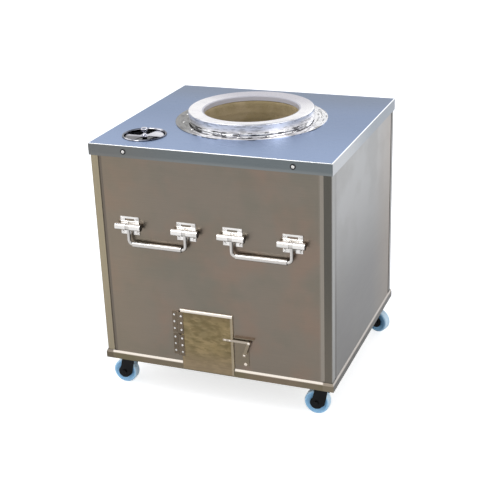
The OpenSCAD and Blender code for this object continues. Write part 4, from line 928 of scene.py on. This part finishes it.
class TANDOOR_OT_fasteners(bpy.types.Operator):
    """Sets the screws with cross recesses and the domed rivets in their places"""

    bl_idname = "tandoor.fasteners"
    bl_label = "Screws and rivets"

    def execute(self, context):
        look = settings().fasteners
        bright = polished_steel("polished_fastener_steel", "#f4f1ee", "#cfccc8", 0.16, 0.0)
        rows = (
            # new piece, CAD node, body, head height, shank radius, cross recess, axis
            ("cover_screw_heads", "cover_screws", "cabinet", 3.0, 2.4, True, 1),
            ("handle_screw_heads", "handle_screws", "cabinet", 2.4, 2.5, True, 1),
            ("hinge_screw_heads_fixed", "hinge_screws_fixed", "cabinet", 1.5, 1.9, True, 1),
            ("hinge_screw_heads_door", "hinge_screws_door", "ash_door", 1.5, 1.9, True, 1),
            ("flange_rivet_heads", "flange_rivets", "cabinet", 2.4, 2.0, False, 2),
        )
        for name, node, body, head, shank, recessed, axis in rows:
            places, ways, radius, length = [], [], 0.0, 0.0
            for low, high in islands(node):
                middle = (low + high) / 2
                outwards = Vector((0, 0, 1)) if axis == 2 else Vector((0, -1 if middle.y < 0 else 1, 0))
                tip = high[axis] if outwards[axis] > 0 else low[axis]
                middle[axis] = tip - outwards[axis] * head * MM
                places.append(middle)
                ways.append(outwards)
                radius = (high.x - low.x) / 2
                length = high[axis] - low[axis] - head * MM
            points = bpy.data.meshes.new(name + "_points")
            points.from_pydata([tuple(p) for p in places], [], [])
            facing = points.attributes.new("facing", "FLOAT_VECTOR", "POINT")
            facing.data.foreach_set("vector", [x for way in ways for x in way])
            carrier = put(name + "_points", points)
            modifier = carrier.modifiers.new("Fastener heads", "NODES")
            modifier.node_group = fastener_tree()
            values = {
                "Head Radius": radius,
                "Head Height": head * MM,
                "Shank Radius": shank * MM,
                "Shank Length": length,
                "Slot Width": radius * look.recess_width,
                "Slot Length": 2 * radius * look.recess_length,
                "Slot Depth": head * MM * look.recess_depth,
                "Recessed": recessed,
                "Seed": look.seed,
                "Finish": bright,
            }
            for socket in modifier.node_group.interface.items_tree:
                if socket.item_type == "SOCKET" and socket.in_out == "INPUT" and socket.name in values:
                    modifier[socket.identifier] = values[socket.name]
            mesh = applied(carrier)
            bpy.data.objects.remove(carrier)
            mesh.name = name
            mesh.shade_smooth()
            mesh.set_sharp_from_angle(angle=math.radians(38))
            piece(name, mesh, body, bright, node)
        return {"FINISHED"}


class TANDOOR_OT_stage(bpy.types.Operator):
    """Sets the pale floor, the sky tone, four soft lamps and the camera"""

    bl_idname = "tandoor.stage"
    bl_label = "Floor, light and camera"

    def execute(self, context):
        look = settings().stage
        scene = context.scene
        scene.view_settings.view_transform = "Standard"
        # Floor: pale and matt, and seen as the white background by camera and metal, while the shadow stays
        ground = bpy.data.meshes.new("studio_floor")
        ground.from_pydata([(-9, -9, 0), (9, -9, 0), (9, 9, 0), (-9, 9, 0)], [], [(0, 1, 2, 3)])
        floor = put("studio_floor", ground)
        material, tree, place = new_finish("pale_matt_floor")
        rays = add(tree, "LightPath")
        # Strength of its glow as the camera sees it, and as metal and glass do
        seen, reflected = 0.66, 0.2
        mirrored = {0: rays.outputs["Is Glossy Ray"], 1: rays.outputs["Is Transmission Ray"]}
        mirrored = add(tree, "Math", mirrored, operation="MAXIMUM")
        mirrored = add(tree, "Math", {0: mirrored, 1: reflected}, operation="MULTIPLY")
        power = {0: rays.outputs["Is Camera Ray"], 1: seen, 2: mirrored}
        power = add(tree, "Math", power, operation="MULTIPLY_ADD")
        speck = add(tree, "TexNoise", {"Vector": place.outputs["Object"], "Scale": 5.0})
        pale = add(tree, "Mix", {0: speck, 6: look.floor, 7: linear("#eeeeee")}, data_type="RGBA").outputs[2]
        matt = add(tree, "BsdfDiffuse", {"Color": pale})
        glow = add(tree, "Emission", {"Color": (1, 1, 1, 1), "Strength": power})
        both = add(tree, "AddShader", {0: matt, 1: glow})
        add(tree, "OutputMaterial", {"Surface": both})
        ground.materials.append(material)
        # World: white round about, cooler and darker overhead
        world = bpy.data.worlds.new("studio_sky")
        scene.world = world
        world.use_nodes = True
        tree = world.node_tree
        tree.nodes.clear()
        way = add(tree, "SeparateXYZ", {0: add(tree, "TexCoord").outputs["Generated"]})
        sky = shift_tone(tree, (1, 1, 1, 1), way.outputs["Z"], 0.6, 0.86, look.zenith)
        add(tree, "OutputWorld", {"Surface": add(tree, "Background", {"Color": sky})})
        # Soft lamps, aimed at the cabinet's middle: overhead at the front, which catches bends and handles;
        # right for the side; weak fills at the left and rear
        aim = Vector((0, 0, 0.4))
        for name, at, size, watts, colour in (
            ("overhead_front", (-1.0, -1.46, 3.1), 1.5, 21.0, (1.0, 0.985, 0.96)),
            ("right", (2.8, -1.2, 1.9), 1.8, 11.0, (1.0, 0.98, 0.95)),
            ("left", (-2.8, -1.4, 1.8), 2.0, 6.0, (0.96, 0.98, 1.0)),
            ("rear", (0.9, 2.8, 2.2), 2.2, 9.0, (0.92, 0.96, 1.0)),
        ):
            light = bpy.data.lights.new(name, "AREA")
            light.shape, light.size, light.energy, light.color = "DISK", size, watts, colour
            lamp = put(name, light)
            lamp.location = at
            lamp.rotation_mode = "QUATERNION"
            lamp.rotation_quaternion = (aim - Vector(at)).to_track_quat("-Z", "Y")
        # Camera: solved from the edges of the cabinet in the photograph, with a small roll
        eye = bpy.data.cameras.new("camera")
        eye.sensor_width, eye.lens = 36.0, look.lens
        eye.clip_start, eye.clip_end = 0.1, 60.0
        camera = put("camera", eye)
        back = Vector((0.33864, -0.85786, 0.38654))
        right = Vector((0.93015, 0.36718, 0.0))
        up = Vector((-0.14193, 0.35954, 0.92228))
        roll = math.radians(-1.9831)
        across = math.cos(roll) * right + math.sin(roll) * up
        upward = -math.sin(roll) * right + math.cos(roll) * up
        stand = Vector((1.1196, -2.8668, 1.6552))
        rows = [[across[i], upward[i], back[i], stand[i]] for i in range(3)]
        camera.matrix_world = Matrix(rows + [[0, 0, 0, 1]])
        scene.camera = camera
        return {"FINISHED"}


class TANDOOR_PT_panel(bpy.types.Panel):
    """Lists the oven's pieces, with the sizes and colours of each"""

    bl_idname = "TANDOOR_PT_panel"
    bl_label = "Clay tandoor oven"
    bl_space_type = "VIEW_3D"
    bl_region_type = "UI"
    bl_category = "Tandoor"

    def draw(self, context):
        for step in STEPS:
            self.layout.operator(step)
        look = settings()
        for group in (look.cabinet, look.pot, look.fasteners, look.castors, look.stage):
            box = self.layout.box()
            for key in group.__annotations__:
                box.prop(group, key)


STEPS = (
    "tandoor.cabinet",
    "tandoor.collar_and_vent",
    "tandoor.door_and_latch",
    "tandoor.handles",
    "tandoor.clay_pot",
    "tandoor.hearth",
    "tandoor.castors",
    "tandoor.fasteners",
    "tandoor.stage",
)
CLASSES = (
    CabinetColours,
    ClayPotSizes,
    FastenerSizes,
    CastorColours,
    StageSettings,
    TandoorSettings,
    TANDOOR_OT_cabinet,
    TANDOOR_OT_collar_and_vent,
    TANDOOR_OT_door_and_latch,
    TANDOOR_OT_handles,
    TANDOOR_OT_clay_pot,
    TANDOOR_OT_hearth,
    TANDOOR_OT_castors,
    TANDOOR_OT_fasteners,
    TANDOOR_OT_stage,
    TANDOOR_PT_panel,
)


def register():
    """Makes the sizes, operators and panel known to Blender."""
    for cls in CLASSES:
        bpy.utils.register_class(cls)
    bpy.types.Scene.tandoor = PointerProperty(
        name="Tandoor", description="Sizes and colours of the oven", type=TandoorSettings
    )


def unregister():
    """Takes them out again."""
    del bpy.types.Scene.tandoor
    for cls in reversed(CLASSES):
        bpy.utils.unregister_class(cls)


def main():
    """Builds the looks in order."""
    register()
    for step in STEPS:
        area, name = step.split(".")
        getattr(getattr(bpy.ops, area), name)()
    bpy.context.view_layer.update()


if __name__ == "__main__":
    main()
